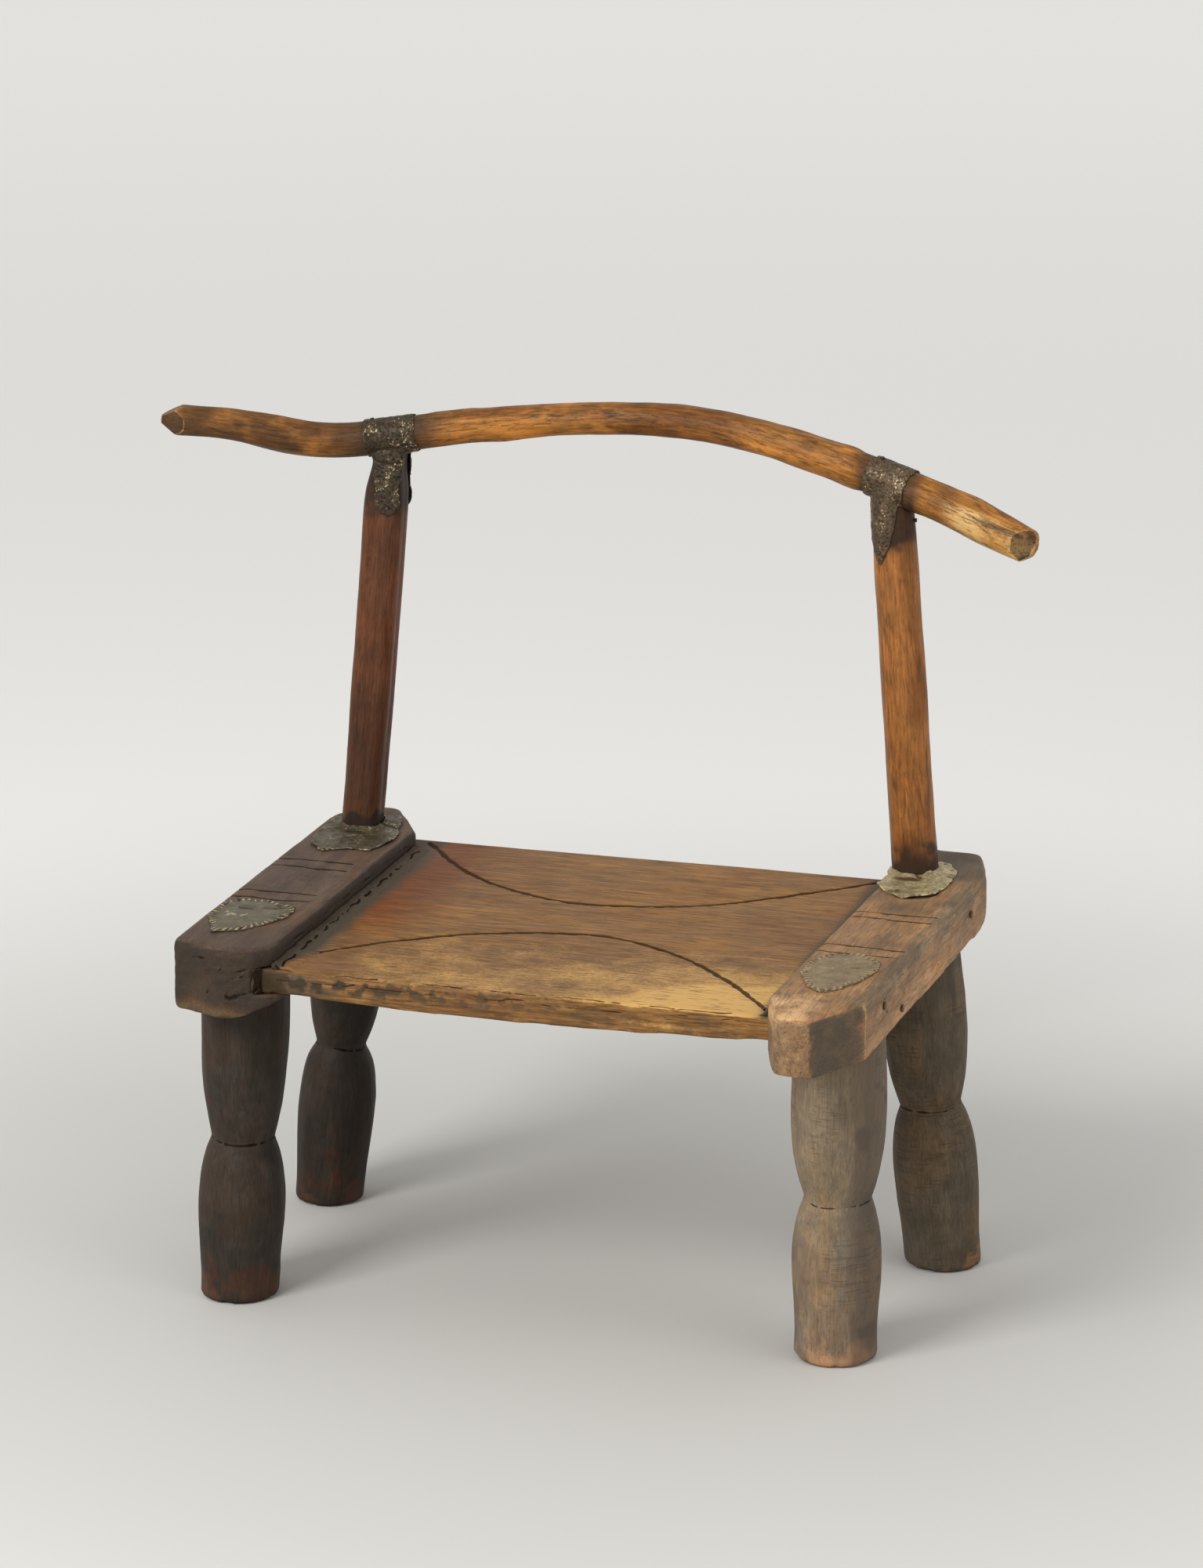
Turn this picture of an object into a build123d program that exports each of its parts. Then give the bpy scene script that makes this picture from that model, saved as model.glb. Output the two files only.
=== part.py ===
from build123d import *

import os
from math import cos, radians, sin

# A low chair: a plank seat housed between two end rails, four waisted legs tenoned up through
# the rails, two posts, and a bent branch held in their saddles by nailed sheet-metal straps.
# Millimetres. +Z is up, the sitter faces -Y, +X is to the right when looking along +Y.
# The origin is on the floor under the middle of the chair's box.

os.makedirs("parts", exist_ok=True)

# ---------------------------------------------------------------- driving dimensions

rail_spacing = 407.3  # between the rails' middle lines
rail_top = 263.0  # height of the rails' top faces above the floor
seat_drop = 14.0  # step from the rails' top down to the seat

left_rail_width = 72.0
left_rail_height = 50.0
left_nose = 12.5  # the rail runs this far past the seat's half depth in front
left_tail = 24.5  # and behind
left_rail_turn = 1.0  # degrees, counter-clockwise seen from above
left_lip_reach = 12.0  # the lower lip stands this far out under the seat
left_bevel_width = 36.0  # bevel under the lip
left_edge_round = 5.0
left_corner = 5.5  # rounding of the corners in plan

right_rail_width = 64.0
right_rail_height = 39.0
right_nose = 40.5
right_tail = 40.5
right_rail_turn = -0.7
right_bevel_width = 6.0
right_bevel_height = 3.5
right_heel_length = 60.0  # upward slope under the back end
right_heel_rise = 10.0
right_edge_round = 4.0
right_corner = 6.0

seat_depth = 319.0
seat_end_thickness = 16.5
seat_belly = 3.8  # the plank is this much thicker in the middle than at its ends
seat_turn = 1.0
seat_setback = 1.6  # middle of the seat in front of the origin
left_tongue_depth = 11.0
right_tongue_depth = 8.0
tongue_clearance = 0.3  # above the tongue; it rests on the groove's floor
seat_edge_round = 2.5

tenon_diameter = 28.0
tenon_clearance = 0.15
tenon_sink = 0.6  # tenon ends below the rail's top face
foot_round = 2.5
leg_seat_depth = 12.0  # how far the leg blank runs up past the rail's underside before it is scribed

post_tenon_diameter = 16.0
post_tenon_length = 26.0
post_shoulder = 8.0  # the post's foot is carried this far down its leaning line, then cut level

left_post_aside = 4.4  # left of the rail's middle line
left_post_inset = 29.5  # in front of the seat's half depth
right_post_aside = 15.5
right_post_inset = 22.1
left_post_rise = 281.0  # rail's top up to the branch's middle line
left_post_lean = 25.0  # towards the middle of the chair over that rise
right_post_rise = 271.0
right_post_lean = 20.5
saddle_cheek = 5.0  # the posts stop this far below the branch's middle line

seat_middle_x = 31.5  # the branch reaches further to the left than to the right
branch_reach_left = 338.0  # from the middle of the seat
branch_reach_right = 274.0
branch_end_chamfer = 3.5

sheet = 1.2  # sheet metal of straps, patches and collars
left_strap_width = 36.0
right_strap_width = 31.0
left_tongue_length = 57.0  # strap tongue, from the branch's middle line to its tip
right_tongue_length = 54.0
left_tongue_shift = (0.0, 6.0)  # to the right of the post's line, at the tongue's root and at its tip
right_tongue_shift = (-3.0, -8.0)
tongue_root = 5.0  # the tongues start this far above the branch's middle line

collar_rise = 11.0
collar_flare = 6.0
collar_gap = 0.01  # sheet to post at the collar's upper edge

tack_head_diameter = 3.6
tack_head_height = 0.9
tack_shank = 1.5  # square
tack_length = 7.0
tack_inset = 3.6  # from a corner of a sheet
nail_head_diameter = 6.0
nail_shank = 3.0
nail_length = 14.0

line_width = 1.0
line_depth = 0.7
carved_length = 56.0
left_carved_lines = (36, 19, -40, -56)  # places along the rail
right_carved_lines = (38, 25.5, -39, -54)
sheet_corner = 2.0  # easing of the sheets' corners

pitch_width_left = 18.0
pitch_width_right = 7.0
pitch_height = 4.0
pitch_film = 0.8
pitch_crest = 1.4

# ---------------------------------------------------------------- places that follow from them

seat_top = rail_top - seat_drop
half_depth = seat_depth / 2
left_rail_front = half_depth + left_nose
left_rail_back = half_depth + left_tail
right_rail_front = half_depth + right_nose
right_rail_back = half_depth + right_tail
lip_drop = seat_drop + seat_end_thickness  # the plank rests on the lips and in the grooves
seat_middle_y = -seat_setback
far = 400.0  # longer than anything that is trimmed


def turned(x, degrees):
    """Plane on the rails' top, with its local X across the rail and its local Y along it."""
    across = (cos(radians(degrees)), sin(radians(degrees)), 0)
    return Plane(origin=(x, 0, rail_top), x_dir=across, z_dir=(0, 0, 1))


left_frame = turned(seat_middle_x - rail_spacing / 2, left_rail_turn)
right_frame = turned(seat_middle_x + rail_spacing / 2, right_rail_turn)
left_half = left_rail_width / 2
right_half = right_rail_width / 2
lip_half = left_half + left_lip_reach


def on_rail(frame, across, along, up=0.0):
    """Point given across and along a rail and up from its top face."""
    return frame.from_local_coords(Vector(across, along, up))


def end_view(frame):
    """Plane through a rail's cross-section: local X across, local Y up from the top face."""
    return Plane(origin=frame.origin, x_dir=frame.x_dir, z_dir=-frame.y_dir)


def side_view(frame):
    """Plane through a rail's length: local X along, local Y up from the top face."""
    return Plane(origin=frame.origin, x_dir=frame.y_dir, z_dir=frame.x_dir)


def at_point(origin, z_dir, x_dir=(1, 0, 0)):
    """Plane square to z_dir at a point."""
    normal = Vector(*z_dir).normalized()
    across = Vector(*x_dir)
    across = (across - normal * across.dot(normal)).normalized()
    return Plane(origin=origin, x_dir=across, z_dir=normal)


# ---------------------------------------------------------------- rails before they are cut for the joints


def rail_outline(half, front, back, outward, cuts, corner):
    """Plan of a rail with its corners cut away; outward is the sign of its outer side."""
    fo, fi, bi, bo = cuts
    points = [
        (outward * half[0], -front + fo[1]),
        (outward * (half[0] - fo[0]), -front),
        (-outward * (half[1] - fi[0]), -front + fi[2]),
        (-outward * half[1], -front + fi[1]),
        (-outward * half[1], back - bi[1]),
        (-outward * (half[1] - bi[0]), back),
        (outward * (half[0] - bo[0]), back),
        (outward * half[0], back - bo[1]),
    ]
    with BuildSketch() as outline:
        with BuildLine():
            Polyline(*points, close=True)
        make_face()
        fillet(outline.vertices(), corner)
    return outline.sketch


def left_outline(inner_half, cuts):
    """Plan of the left rail, for a given reach of its inner side."""
    return rail_outline((left_half, inner_half), left_rail_front, left_rail_back, -1, cuts, left_corner)


# Cuts across the corners, outer front, inner front, inner back, outer back: across, along, step of the end.
left_cuts = ((36, 15), (10, 14, 2), (29, 54), (27, 26))
left_back_slope = left_cuts[2][1] / left_cuts[2][0]
left_lip_cuts = (
    left_cuts[0],
    (16, 14, 2),
    (left_cuts[2][0] + left_lip_reach, left_cuts[2][1] + left_lip_reach * left_back_slope),
    left_cuts[3],
)
right_cuts = ((22, 47), (16.5, 41, 0), (10, 8), (15, 48))

with BuildPart() as left_rail_blank:
    with BuildSketch(left_frame):
        add(left_outline(left_half, left_cuts))
    extrude(amount=-left_rail_height)
    fillet(left_rail_blank.faces().sort_by(Axis.Z)[-1].edges(), left_edge_round)
    with BuildSketch(left_frame.offset(-left_rail_height)):
        add(left_outline(lip_half, left_lip_cuts))
    extrude(amount=left_rail_height - lip_drop)
    with BuildSketch(end_view(left_frame)):
        with BuildLine():
            Polyline(
                (lip_half, -lip_drop - 1),
                (lip_half - left_bevel_width, -left_rail_height),
                (lip_half, -left_rail_height - 1),
                (lip_half + left_lip_reach, -left_rail_height - 1),
                (lip_half + left_lip_reach, -lip_drop - 1),
                close=True,
            )
        make_face()
    extrude(amount=far, both=True, mode=Mode.SUBTRACT)
    fillet(left_rail_blank.faces().sort_by(Axis.Z)[0].edges(), left_edge_round - 1)

with BuildPart() as right_rail_blank:
    with BuildSketch(right_frame):
        halves = (right_half, right_half)
        add(rail_outline(halves, right_rail_front, right_rail_back, 1, right_cuts, right_corner))
    extrude(amount=-right_rail_height)
    fillet(right_rail_blank.faces().sort_by(Axis.Z)[-1].edges(), right_edge_round)
    with BuildSketch(end_view(right_frame)):
        with BuildLine():
            Polyline(
                (-right_half - 1, -right_rail_height + right_bevel_height),
                (-right_half, -right_rail_height + right_bevel_height),
                (-right_half + right_bevel_width, -right_rail_height),
                (-right_half + right_bevel_width, -right_rail_height - 1),
                (-right_half - 1, -right_rail_height - 1),
                close=True,
            )
        make_face()
    extrude(amount=far, both=True, mode=Mode.SUBTRACT)
    with BuildSketch(side_view(right_frame)):
        with BuildLine():
            Polyline(
                (right_rail_back - right_heel_length, -right_rail_height),
                (right_rail_back + 1, -right_rail_height + right_heel_rise),
                (right_rail_back + 1, -right_rail_height - 1),
                (right_rail_back - right_heel_length, -right_rail_height - 1),
                close=True,
            )
        make_face()
    extrude(amount=far, both=True, mode=Mode.SUBTRACT)

# ---------------------------------------------------------------- seat plank

left_tongue_end = left_half - left_tongue_depth
right_tongue_end = -right_half + right_tongue_depth
seat_plane = Plane(
    origin=(seat_middle_x, seat_middle_y, seat_top),
    x_dir=(cos(radians(seat_turn)), sin(radians(seat_turn)), 0),
    z_dir=(0, 0, 1),
)
seat_span = rail_spacing - left_half - right_half  # clear width between the rails
left_flat_x = left_frame.origin.X + lip_half + 8  # underside is flat over the lips
right_flat_x = right_frame.origin.X - right_half - 8


def seat_outline(grow=0.0, front_grow=0.0):
    """Plan of the plank: cut square at front and back, its ends along the two rails."""
    ends = [
        on_rail(left_frame, left_tongue_end - grow, -far),
        on_rail(right_frame, right_tongue_end + grow, -far),
        on_rail(right_frame, right_tongue_end + grow, far),
        on_rail(left_frame, left_tongue_end - grow, far),
    ]
    with BuildSketch() as outline:
        with BuildLine():
            Polyline(*[(point.X, point.Y) for point in ends], close=True)
        make_face()
        with Locations(Location((seat_middle_x, seat_middle_y - front_grow / 2), seat_turn)):
            Rectangle(2 * far, seat_depth + 2 * grow + front_grow, mode=Mode.INTERSECT)
    return outline.sketch


# Carved curves: share of half the span, share of half the depth.
back_curve = (
    (-0.97, 0.95),
    (-0.63, 0.52),
    (-0.24, 0.29),
    (0.10, 0.29),
    (0.41, 0.42),
    (0.74, 0.71),
    (0.97, 0.95),
)
front_curve = (
    (-0.97, -0.79),
    (-0.62, -0.43),
    (-0.26, -0.22),
    (0.10, -0.15),
    (0.42, -0.29),
    (0.72, -0.58),
    (0.97, -0.92),
)

with BuildPart() as seat_plank:
    with BuildSketch(Plane.XY.offset(seat_top)):
        add(seat_outline())
    extrude(amount=-seat_end_thickness - seat_belly)
    underside = seat_top - seat_end_thickness
    with BuildSketch(Plane.XZ):
        with BuildLine():
            ThreePointArc(
                (left_flat_x, underside),
                (seat_middle_x, underside - seat_belly),
                (right_flat_x, underside),
            )
            Polyline(
                (right_flat_x, underside),
                (right_flat_x + far, underside),
                (right_flat_x + far, seat_top),
                (left_flat_x - far, seat_top),
                (left_flat_x - far, underside),
                (left_flat_x, underside),
            )
        make_face()
    extrude(amount=far, both=True, mode=Mode.INTERSECT)
    front_edges = seat_plank.faces().sort_by(Axis.Y)[0].edges()
    back_edges = seat_plank.faces().sort_by(Axis.Y)[-1].edges()
    fillet([front_edges.sort_by(Axis.Z)[-1], back_edges.sort_by(Axis.Z)[-1]], seat_edge_round)
    for curve in (back_curve, front_curve):
        with BuildSketch(seat_plane):
            with BuildLine():
                Spline(*[(x * seat_span / 2, y * half_depth) for x, y in curve])
            trace(line_width=line_width)
        extrude(amount=-line_depth, mode=Mode.SUBTRACT)

# ---------------------------------------------------------------- legs

# head: top of the tenon across and along its rail. toe: how far the foot stands out from under it.
# The rest are diameters, and the height of the waist, measured along the leg.
legs = {
    "front_left_leg": {
        "frame": left_frame,
        "head": (-4.9, 62.5 - half_depth),
        "toe": (-6.7, -10.6),
        "foot": 56.0,
        "belly": 58.3,
        "waist": 42.5,
        "chest": 57.0,
        "top": 59.0,
        "waist_height": 110.0,
    },
    "front_right_leg": {
        "frame": right_frame,
        "head": (0.0, 58.5 - half_depth),
        "toe": (-2.8, 9.0),
        "foot": 58.6,
        "belly": 58.3,
        "waist": 44.0,
        "chest": 61.5,
        "top": 60.0,
        "waist_height": 111.0,
    },
    "rear_left_leg": {
        "frame": left_frame,
        "head": (5.0, half_depth - 66.8),
        "toe": (-21.6, -8.7),
        "foot": 50.5,
        "belly": 54.0,
        "waist": 34.5,
        "chest": 52.5,
        "top": 57.0,
        "waist_height": 115.0,
    },
    "rear_right_leg": {
        "frame": right_frame,
        "head": (-4.0, half_depth - 67.5),
        "toe": (24.3, 2.7),
        "foot": 54.8,
        "belly": 57.2,
        "waist": 41.5,
        "chest": 57.5,
        "top": 55.5,
        "waist_height": 114.0,
    },
}
belly_share = 0.45  # height of the lower bulb's fullest place, of the waist's height
lower_shoulder = (26.0, 0.6)  # below the waist, and in from the fullest radius
lower_neck = (12.0, 3.2)
upper_shoulder = (22.0, 2.8)  # above the waist, and in from the fullest radius
chest_rise = 46.0  # waist to the upper bulb's fullest place
below_floor = 10.0  # the turned body starts this far down and is cut level at the floor


def leg_line(leg):
    """Foot point on the floor and head point on the rail's top face."""
    head = on_rail(leg["frame"], *leg["head"])
    foot = Vector(head.X + leg["toe"][0], head.Y + leg["toe"][1], 0)
    return foot, head


def leg_round(leg, diameter):
    """Round bar along a leg's line, for its tenon and mortise."""
    foot, head = leg_line(leg)
    with BuildPart() as bar:
        with BuildSketch(at_point(foot, head - foot)):
            Circle(diameter / 2)
        extrude(amount=far)
    return bar.part


def leg_body(leg, blank, underside):
    """Two bulbs turned about the leg's line, flat at the floor and scribed to the rail above."""
    foot, head = leg_line(leg)
    up = (head - foot).normalized()
    across = at_point(foot, up).x_dir
    waist = leg["waist_height"]
    belly, neck, chest = leg["belly"] / 2, leg["waist"] / 2, leg["chest"] / 2
    top = underside + leg_seat_depth
    with BuildPart() as body:
        with BuildSketch(Plane(origin=foot, x_dir=across, z_dir=across.cross(up))):
            with BuildLine():
                Polyline((leg["foot"] / 2, -below_floor), (0, -below_floor), (0, top), (leg["top"] / 2, top))
                Spline(
                    (leg["foot"] / 2, -below_floor),
                    (belly, waist * belly_share),
                    (belly - lower_shoulder[1], waist - lower_shoulder[0]),
                    (belly - lower_neck[1], waist - lower_neck[0]),
                    (neck, waist),
                )
                Spline(
                    (neck, waist),
                    (chest - upper_shoulder[1], waist + upper_shoulder[0]),
                    (chest, waist + chest_rise),
                    (leg["top"] / 2, top),
                )
            make_face()
        revolve(axis=Axis(foot, up))
        split(bisect_by=Plane.XY, keep=Keep.TOP)
        fillet(body.faces().sort_by(Axis.Z)[0].edges(), foot_round)
        add(blank.part, mode=Mode.SUBTRACT)
        add(leg_round(leg, tenon_diameter))
        split(bisect_by=Plane.XY.offset(rail_top - tenon_sink), keep=Keep.BOTTOM)
        split(bisect_by=Plane.XY, keep=Keep.TOP)
    return body.part


left_underside = rail_top - left_rail_height
right_underside = rail_top - right_rail_height

with BuildPart() as front_left_leg:
    add(leg_body(legs["front_left_leg"], left_rail_blank, left_underside))

with BuildPart() as front_right_leg:
    add(leg_body(legs["front_right_leg"], right_rail_blank, right_underside))

with BuildPart() as rear_left_leg:
    add(leg_body(legs["rear_left_leg"], left_rail_blank, left_underside))

with BuildPart() as rear_right_leg:
    add(leg_body(legs["rear_right_leg"], right_rail_blank, right_underside))

# ---------------------------------------------------------------- backrest branch

left_post_foot = on_rail(left_frame, -left_post_aside, half_depth - left_post_inset)
right_post_foot = on_rail(right_frame, -right_post_aside, half_depth - right_post_inset)
left_saddle = left_post_foot + Vector(left_post_lean, 1.0, left_post_rise)
right_saddle = right_post_foot + Vector(-right_post_lean, -3.0, right_post_rise)
left_tip_x = seat_middle_x - branch_reach_left
right_tip_x = seat_middle_x + branch_reach_right

branch_at_left_saddle = 24.0  # diameters
branch_at_right_saddle = 25.5

# Along the branch: share of the way to the next fixed point, offset back, offset up, diameter.
left_end = (
    (1.0, -45.0, 12.5, 18.5),
    (0.85, -37.0, 9.5, 21.0),
    (0.59, -23.0, 3.5, 22.5),
    (0.36, -13.0, -3.0, 24.5),
)
crown = (
    (0.13, 7.6, 8.8, 24.0),
    (0.30, 14.4, 17.5, 22.5),
    (0.52, 17.2, 24.7, 23.0),
    (0.70, 14.5, 21.5, 24.0),
    (0.87, 7.4, 10.5, 24.8),
)
right_end = ((0.33, -7.5, -9.7, 26.2), (0.70, -17.5, -22.3, 25.9), (1.0, -26.5, -32.6, 23.3))


def branch_stations():
    """Points on the branch's middle line from left tip to right tip, each with a diameter."""
    stations = []
    for share, back, up, diameter in left_end:
        x = left_saddle.X + share * (left_tip_x - left_saddle.X)
        stations.append((Vector(x, left_saddle.Y + back, left_saddle.Z + up), diameter))
    stations.append((left_saddle, branch_at_left_saddle))
    for share, back, up, diameter in crown:
        stations.append((left_saddle + (right_saddle - left_saddle) * share + Vector(0, back, up), diameter))
    stations.append((right_saddle, branch_at_right_saddle))
    for share, back, up, diameter in right_end:
        x = right_saddle.X + share * (right_tip_x - right_saddle.X)
        stations.append((Vector(x, right_saddle.Y + back, right_saddle.Z + up), diameter))
    return stations


stations = branch_stations()
branch_line = Spline(*[point for point, diameter in stations])


def branch_round(grow=0.0):
    """The branch as one smooth round body, all its radii larger by grow."""
    with BuildPart() as body:
        for point, diameter in stations:
            with BuildSketch(at_point(point, branch_line.tangent_at(point), (0, 1, 0))):
                Circle(diameter / 2 + grow)
        loft()
    return body.part


with BuildPart() as branch_blank:
    add(branch_round())
    tips = branch_blank.faces().filter_by(GeomType.PLANE).sort_by(Axis.X)
    chamfer(tips[0].edges() + tips[-1].edges(), branch_end_chamfer)

# ---------------------------------------------------------------- posts

# Evenly spaced up the left post: width across, depth front to back.
left_post_sections = (
    (26.2, 24.0),
    (27.0, 24.6),
    (27.6, 25.2),
    (27.9, 25.5),
    (28.1, 25.6),
    (28.0, 25.5),
    (21.1, 21.0),
)
# Evenly spaced up the right post: diameter.
right_post_sections = (31.3, 31.1, 30.9, 30.8, 30.6, 29.6, 25.5)
left_post_corner = 7.0


def post_plane(foot, saddle, share):
    """Plane square to a post's line at a share of its rise."""
    return at_point(foot + (saddle - foot) * share, saddle - foot)


def left_post_shaft(grow=0.0):
    """Left post as a facetted body with rounded corners."""
    last = len(left_post_sections) - 1
    with BuildPart() as shaft:
        for step, (width, depth) in enumerate(left_post_sections):
            with BuildSketch(post_plane(left_post_foot, left_saddle, step / last)):
                RectangleRounded(width + 2 * grow, depth + 2 * grow, left_post_corner + grow)
        loft()
    return shaft.part


def right_post_shaft(grow=0.0):
    """Right post as a round body."""
    last = len(right_post_sections) - 1
    with BuildPart() as shaft:
        for step, diameter in enumerate(right_post_sections):
            with BuildSketch(post_plane(right_post_foot, right_saddle, step / last)):
                Circle(diameter / 2 + grow)
        loft()
    return shaft.part


def post_tenon(foot, saddle, grow=0.0):
    """Stub tenon below a post, along the post's line."""
    down = (foot - saddle).normalized()
    with BuildPart() as stub:
        with BuildSketch(at_point(foot - down * post_shoulder, down)):
            Circle(post_tenon_diameter / 2 + grow)
        extrude(amount=post_shoulder + post_tenon_length + grow)
    return stub.part


def post_body(shaft, foot, saddle, foot_size):
    """Shaft set flat on the rail, stopped at the cheeks of its saddle and hollowed to the branch."""
    up = (saddle - foot).normalized()
    with BuildPart() as body:
        add(shaft)
        # The shaft's own square end leans, so it is carried on down and then cut level.
        with BuildSketch(at_point(foot, -up)):
            add(foot_size)
        extrude(amount=post_shoulder)
        split(bisect_by=Plane.XY.offset(rail_top), keep=Keep.TOP)
        split(bisect_by=at_point(saddle - up * saddle_cheek, up), keep=Keep.BOTTOM)
        add(branch_blank.part, mode=Mode.SUBTRACT)
        add(post_tenon(foot, saddle))
    return body.part


with BuildSketch() as left_post_foot_section:
    RectangleRounded(*left_post_sections[0], left_post_corner)

with BuildSketch() as right_post_foot_section:
    Circle(right_post_sections[0] / 2)

with BuildPart() as left_post_blank:
    add(post_body(left_post_shaft(), left_post_foot, left_saddle, left_post_foot_section.sketch))

with BuildPart() as right_post_blank:
    add(post_body(right_post_shaft(), right_post_foot, right_saddle, right_post_foot_section.sketch))

# ---------------------------------------------------------------- tacks and nails


def headed_nail(head, shank, height, length, sides=8):
    """Hand-made nail on the XY plane: facetted head above it, square shank below."""
    with BuildPart() as nail:
        with BuildSketch():
            RegularPolygon(head / 2, sides)
        extrude(amount=height, taper=25)
        with BuildSketch():
            Rectangle(shank, shank)
        extrude(amount=-length)
    return nail.part


def tacks_at(planes):
    """One tack standing on each plane."""
    tack = headed_nail(tack_head_diameter, tack_shank, tack_head_height, tack_length)
    with BuildPart() as group:
        for plane in planes:
            add(plane.location * tack)
    return group.part


def tack_ring(middle, outline):
    """Level planes on a sheet, a little inside each corner of its outline that lies clear of the tenon."""
    planes = []
    for across, along in outline:
        reach = Vector(across, along)
        if reach.length > tenon_diameter / 2 + 1.4 * tack_inset:
            reach = reach * (1 - tack_inset / reach.length)
            planes.append(Plane(origin=(middle.X + reach.X, middle.Y + reach.Y, rail_top + sheet)))
    return planes


# Outlines of the front patches, from the middle of the tenon under them.
front_left_outline = (
    (-25, -9),
    (-25, 19),
    (-20, 31),
    (3, 33),
    (15, 26),
    (23, 28),
    (27, 15),
    (27, 2),
    (19, -18),
    (9, -33),
    (-9, -43),
)
front_right_outline = (
    (-26, -4),
    (-26, 24),
    (-19, 40),
    (2, 44),
    (18, 32),
    (21, 14),
    (17, -8),
    (9, -29),
    (-2, -41),
    (-14, -31),
)
# Outlines of the collars: the front part from the rear tenon's middle, the back part from the post's foot.
left_collar_front = ((-32, 0), (-27, -22), (-15, -35), (1, -24), (18, -25), (26, 8))
left_collar_back = ((27, 10), (20, 24), (-12, 26), (-24, 14))
right_collar_front = ((-28, 6), (-18, -9), (-4, -21), (16, -5), (19, 12))
right_collar_back = ((30, -8), (28, 6), (19, 21), (0, 29), (-12, 24))

front_left_head = leg_line(legs["front_left_leg"])[1]
front_right_head = leg_line(legs["front_right_leg"])[1]
rear_left_head = leg_line(legs["rear_left_leg"])[1]
rear_right_head = leg_line(legs["rear_right_leg"])[1]

with BuildPart() as front_left_patch_tacks:
    add(tacks_at(tack_ring(front_left_head, front_left_outline)))

with BuildPart() as front_right_patch_tacks:
    add(tacks_at(tack_ring(front_right_head, front_right_outline)))

with BuildPart() as rear_left_collar_tacks:
    add(tacks_at(tack_ring(rear_left_head, left_collar_front[1:-1])))
    add(tacks_at(tack_ring(left_post_foot, left_collar_back[1:-1])))

with BuildPart() as rear_right_collar_tacks:
    add(tacks_at(tack_ring(rear_right_head, right_collar_front[1:-1])))
    add(tacks_at(tack_ring(right_post_foot, right_collar_back[1:])))

# Nails in the right rail's outer face: along the rail, and down from its top.
side_nails = ((-111, -14), (-68, -29), (107, -17))

with BuildPart() as right_rail_nails:
    for along, down in side_nails:
        place = on_rail(right_frame, right_half, along, down)
        nail = headed_nail(nail_head_diameter, nail_shank, tack_head_height, nail_length)
        add(at_point(place, right_frame.x_dir, (0, 0, 1)).location * nail)

# ---------------------------------------------------------------- straps over the branch

# Half widths of each tongue, evenly spaced from the branch's middle line to the tip.
left_tongue_halves = (12.5, 11.5, 10.5, 9.0, 7.5, 4.5)
right_tongue_halves = (12.0, 11.5, 10.5, 9.5, 7.0, 3.5)


def strap_tongue(saddle, foot, halves, length, shift):
    """Front view of a tongue, on a plane through the post's line, tip down."""
    across = at_point(saddle, foot - saddle).x_dir
    view = Plane(origin=saddle, x_dir=across, z_dir=across.cross(saddle - foot))
    right = [(shift[0] + halves[0], tongue_root)]
    left = [(shift[0] - halves[0], tongue_root)]
    for step, half in enumerate(halves):
        share = step / (len(halves) - 0.5)  # the tip stands half a step beyond the last pair
        middle = shift[0] + (shift[1] - shift[0]) * share
        right.append((middle + half, -length * share))
        left.append((middle - half, -length * share))
    with BuildPart() as prism:
        with BuildSketch(view):
            with BuildLine():
                Polyline(*right, (shift[1], -length), *left[::-1], close=True)
            make_face()
        extrude(amount=far / 4, both=True)
    return prism.part


def strap_body(saddle, foot, width, grown_post, wood_post, tongue):
    """Sheet bent over the branch and down the front and back of the post."""
    with BuildPart() as flaps:
        add(grown_post)
        add(tongue, mode=Mode.INTERSECT)
        split(bisect_by=at_point(saddle, saddle - foot), keep=Keep.BOTTOM)
    with BuildPart() as strap:
        add(branch_round(sheet))
        with BuildSketch(at_point(saddle, branch_line.tangent_at(saddle), (0, 1, 0))):
            Rectangle(far / 4, far / 4)
        extrude(amount=width / 2, both=True, mode=Mode.INTERSECT)
        add(flaps.part)
        add(branch_blank.part, mode=Mode.SUBTRACT)
        add(wood_post, mode=Mode.SUBTRACT)
    return strap.part


left_tongue = strap_tongue(
    left_saddle, left_post_foot, left_tongue_halves, left_tongue_length, left_tongue_shift
)
right_tongue = strap_tongue(
    right_saddle, right_post_foot, right_tongue_halves, right_tongue_length, right_tongue_shift
)

with BuildPart() as left_strap_blank:
    shaft = left_post_shaft(sheet)
    wood = left_post_blank.part
    add(strap_body(left_saddle, left_post_foot, left_strap_width, shaft, wood, left_tongue))

with BuildPart() as right_strap_blank:
    shaft = right_post_shaft(sheet)
    wood = right_post_blank.part
    add(strap_body(right_saddle, right_post_foot, right_strap_width, shaft, wood, right_tongue))

# ---------------------------------------------------------------- tacks of the straps


def post_surface(saddle, foot, radii, down, way, aside=0.0):
    """Plane on the sheet over a post, down from the branch's middle line, facing the given way."""
    line = foot - saddle
    drop = line.normalized()
    place = (1 - down / line.length) * (len(radii) - 1)
    low = int(place)
    radius = radii[low] + (radii[low + 1] - radii[low]) * (place - low)
    facing = Vector(*way)
    facing = (facing - drop * drop.dot(facing)).normalized()
    across = at_point(saddle, line).x_dir
    return at_point(saddle + drop * down + across * aside + facing * (radius + sheet), facing)


def branch_top(saddle, diameter, aside):
    """Plane on the sheet over the branch, a little aside along it."""
    along = branch_line.tangent_at(saddle)
    upward = (Vector(0, 0, 1) - along * along.Z).normalized()
    return at_point(saddle + along * aside + upward * (diameter / 2 + sheet), upward)


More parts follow.
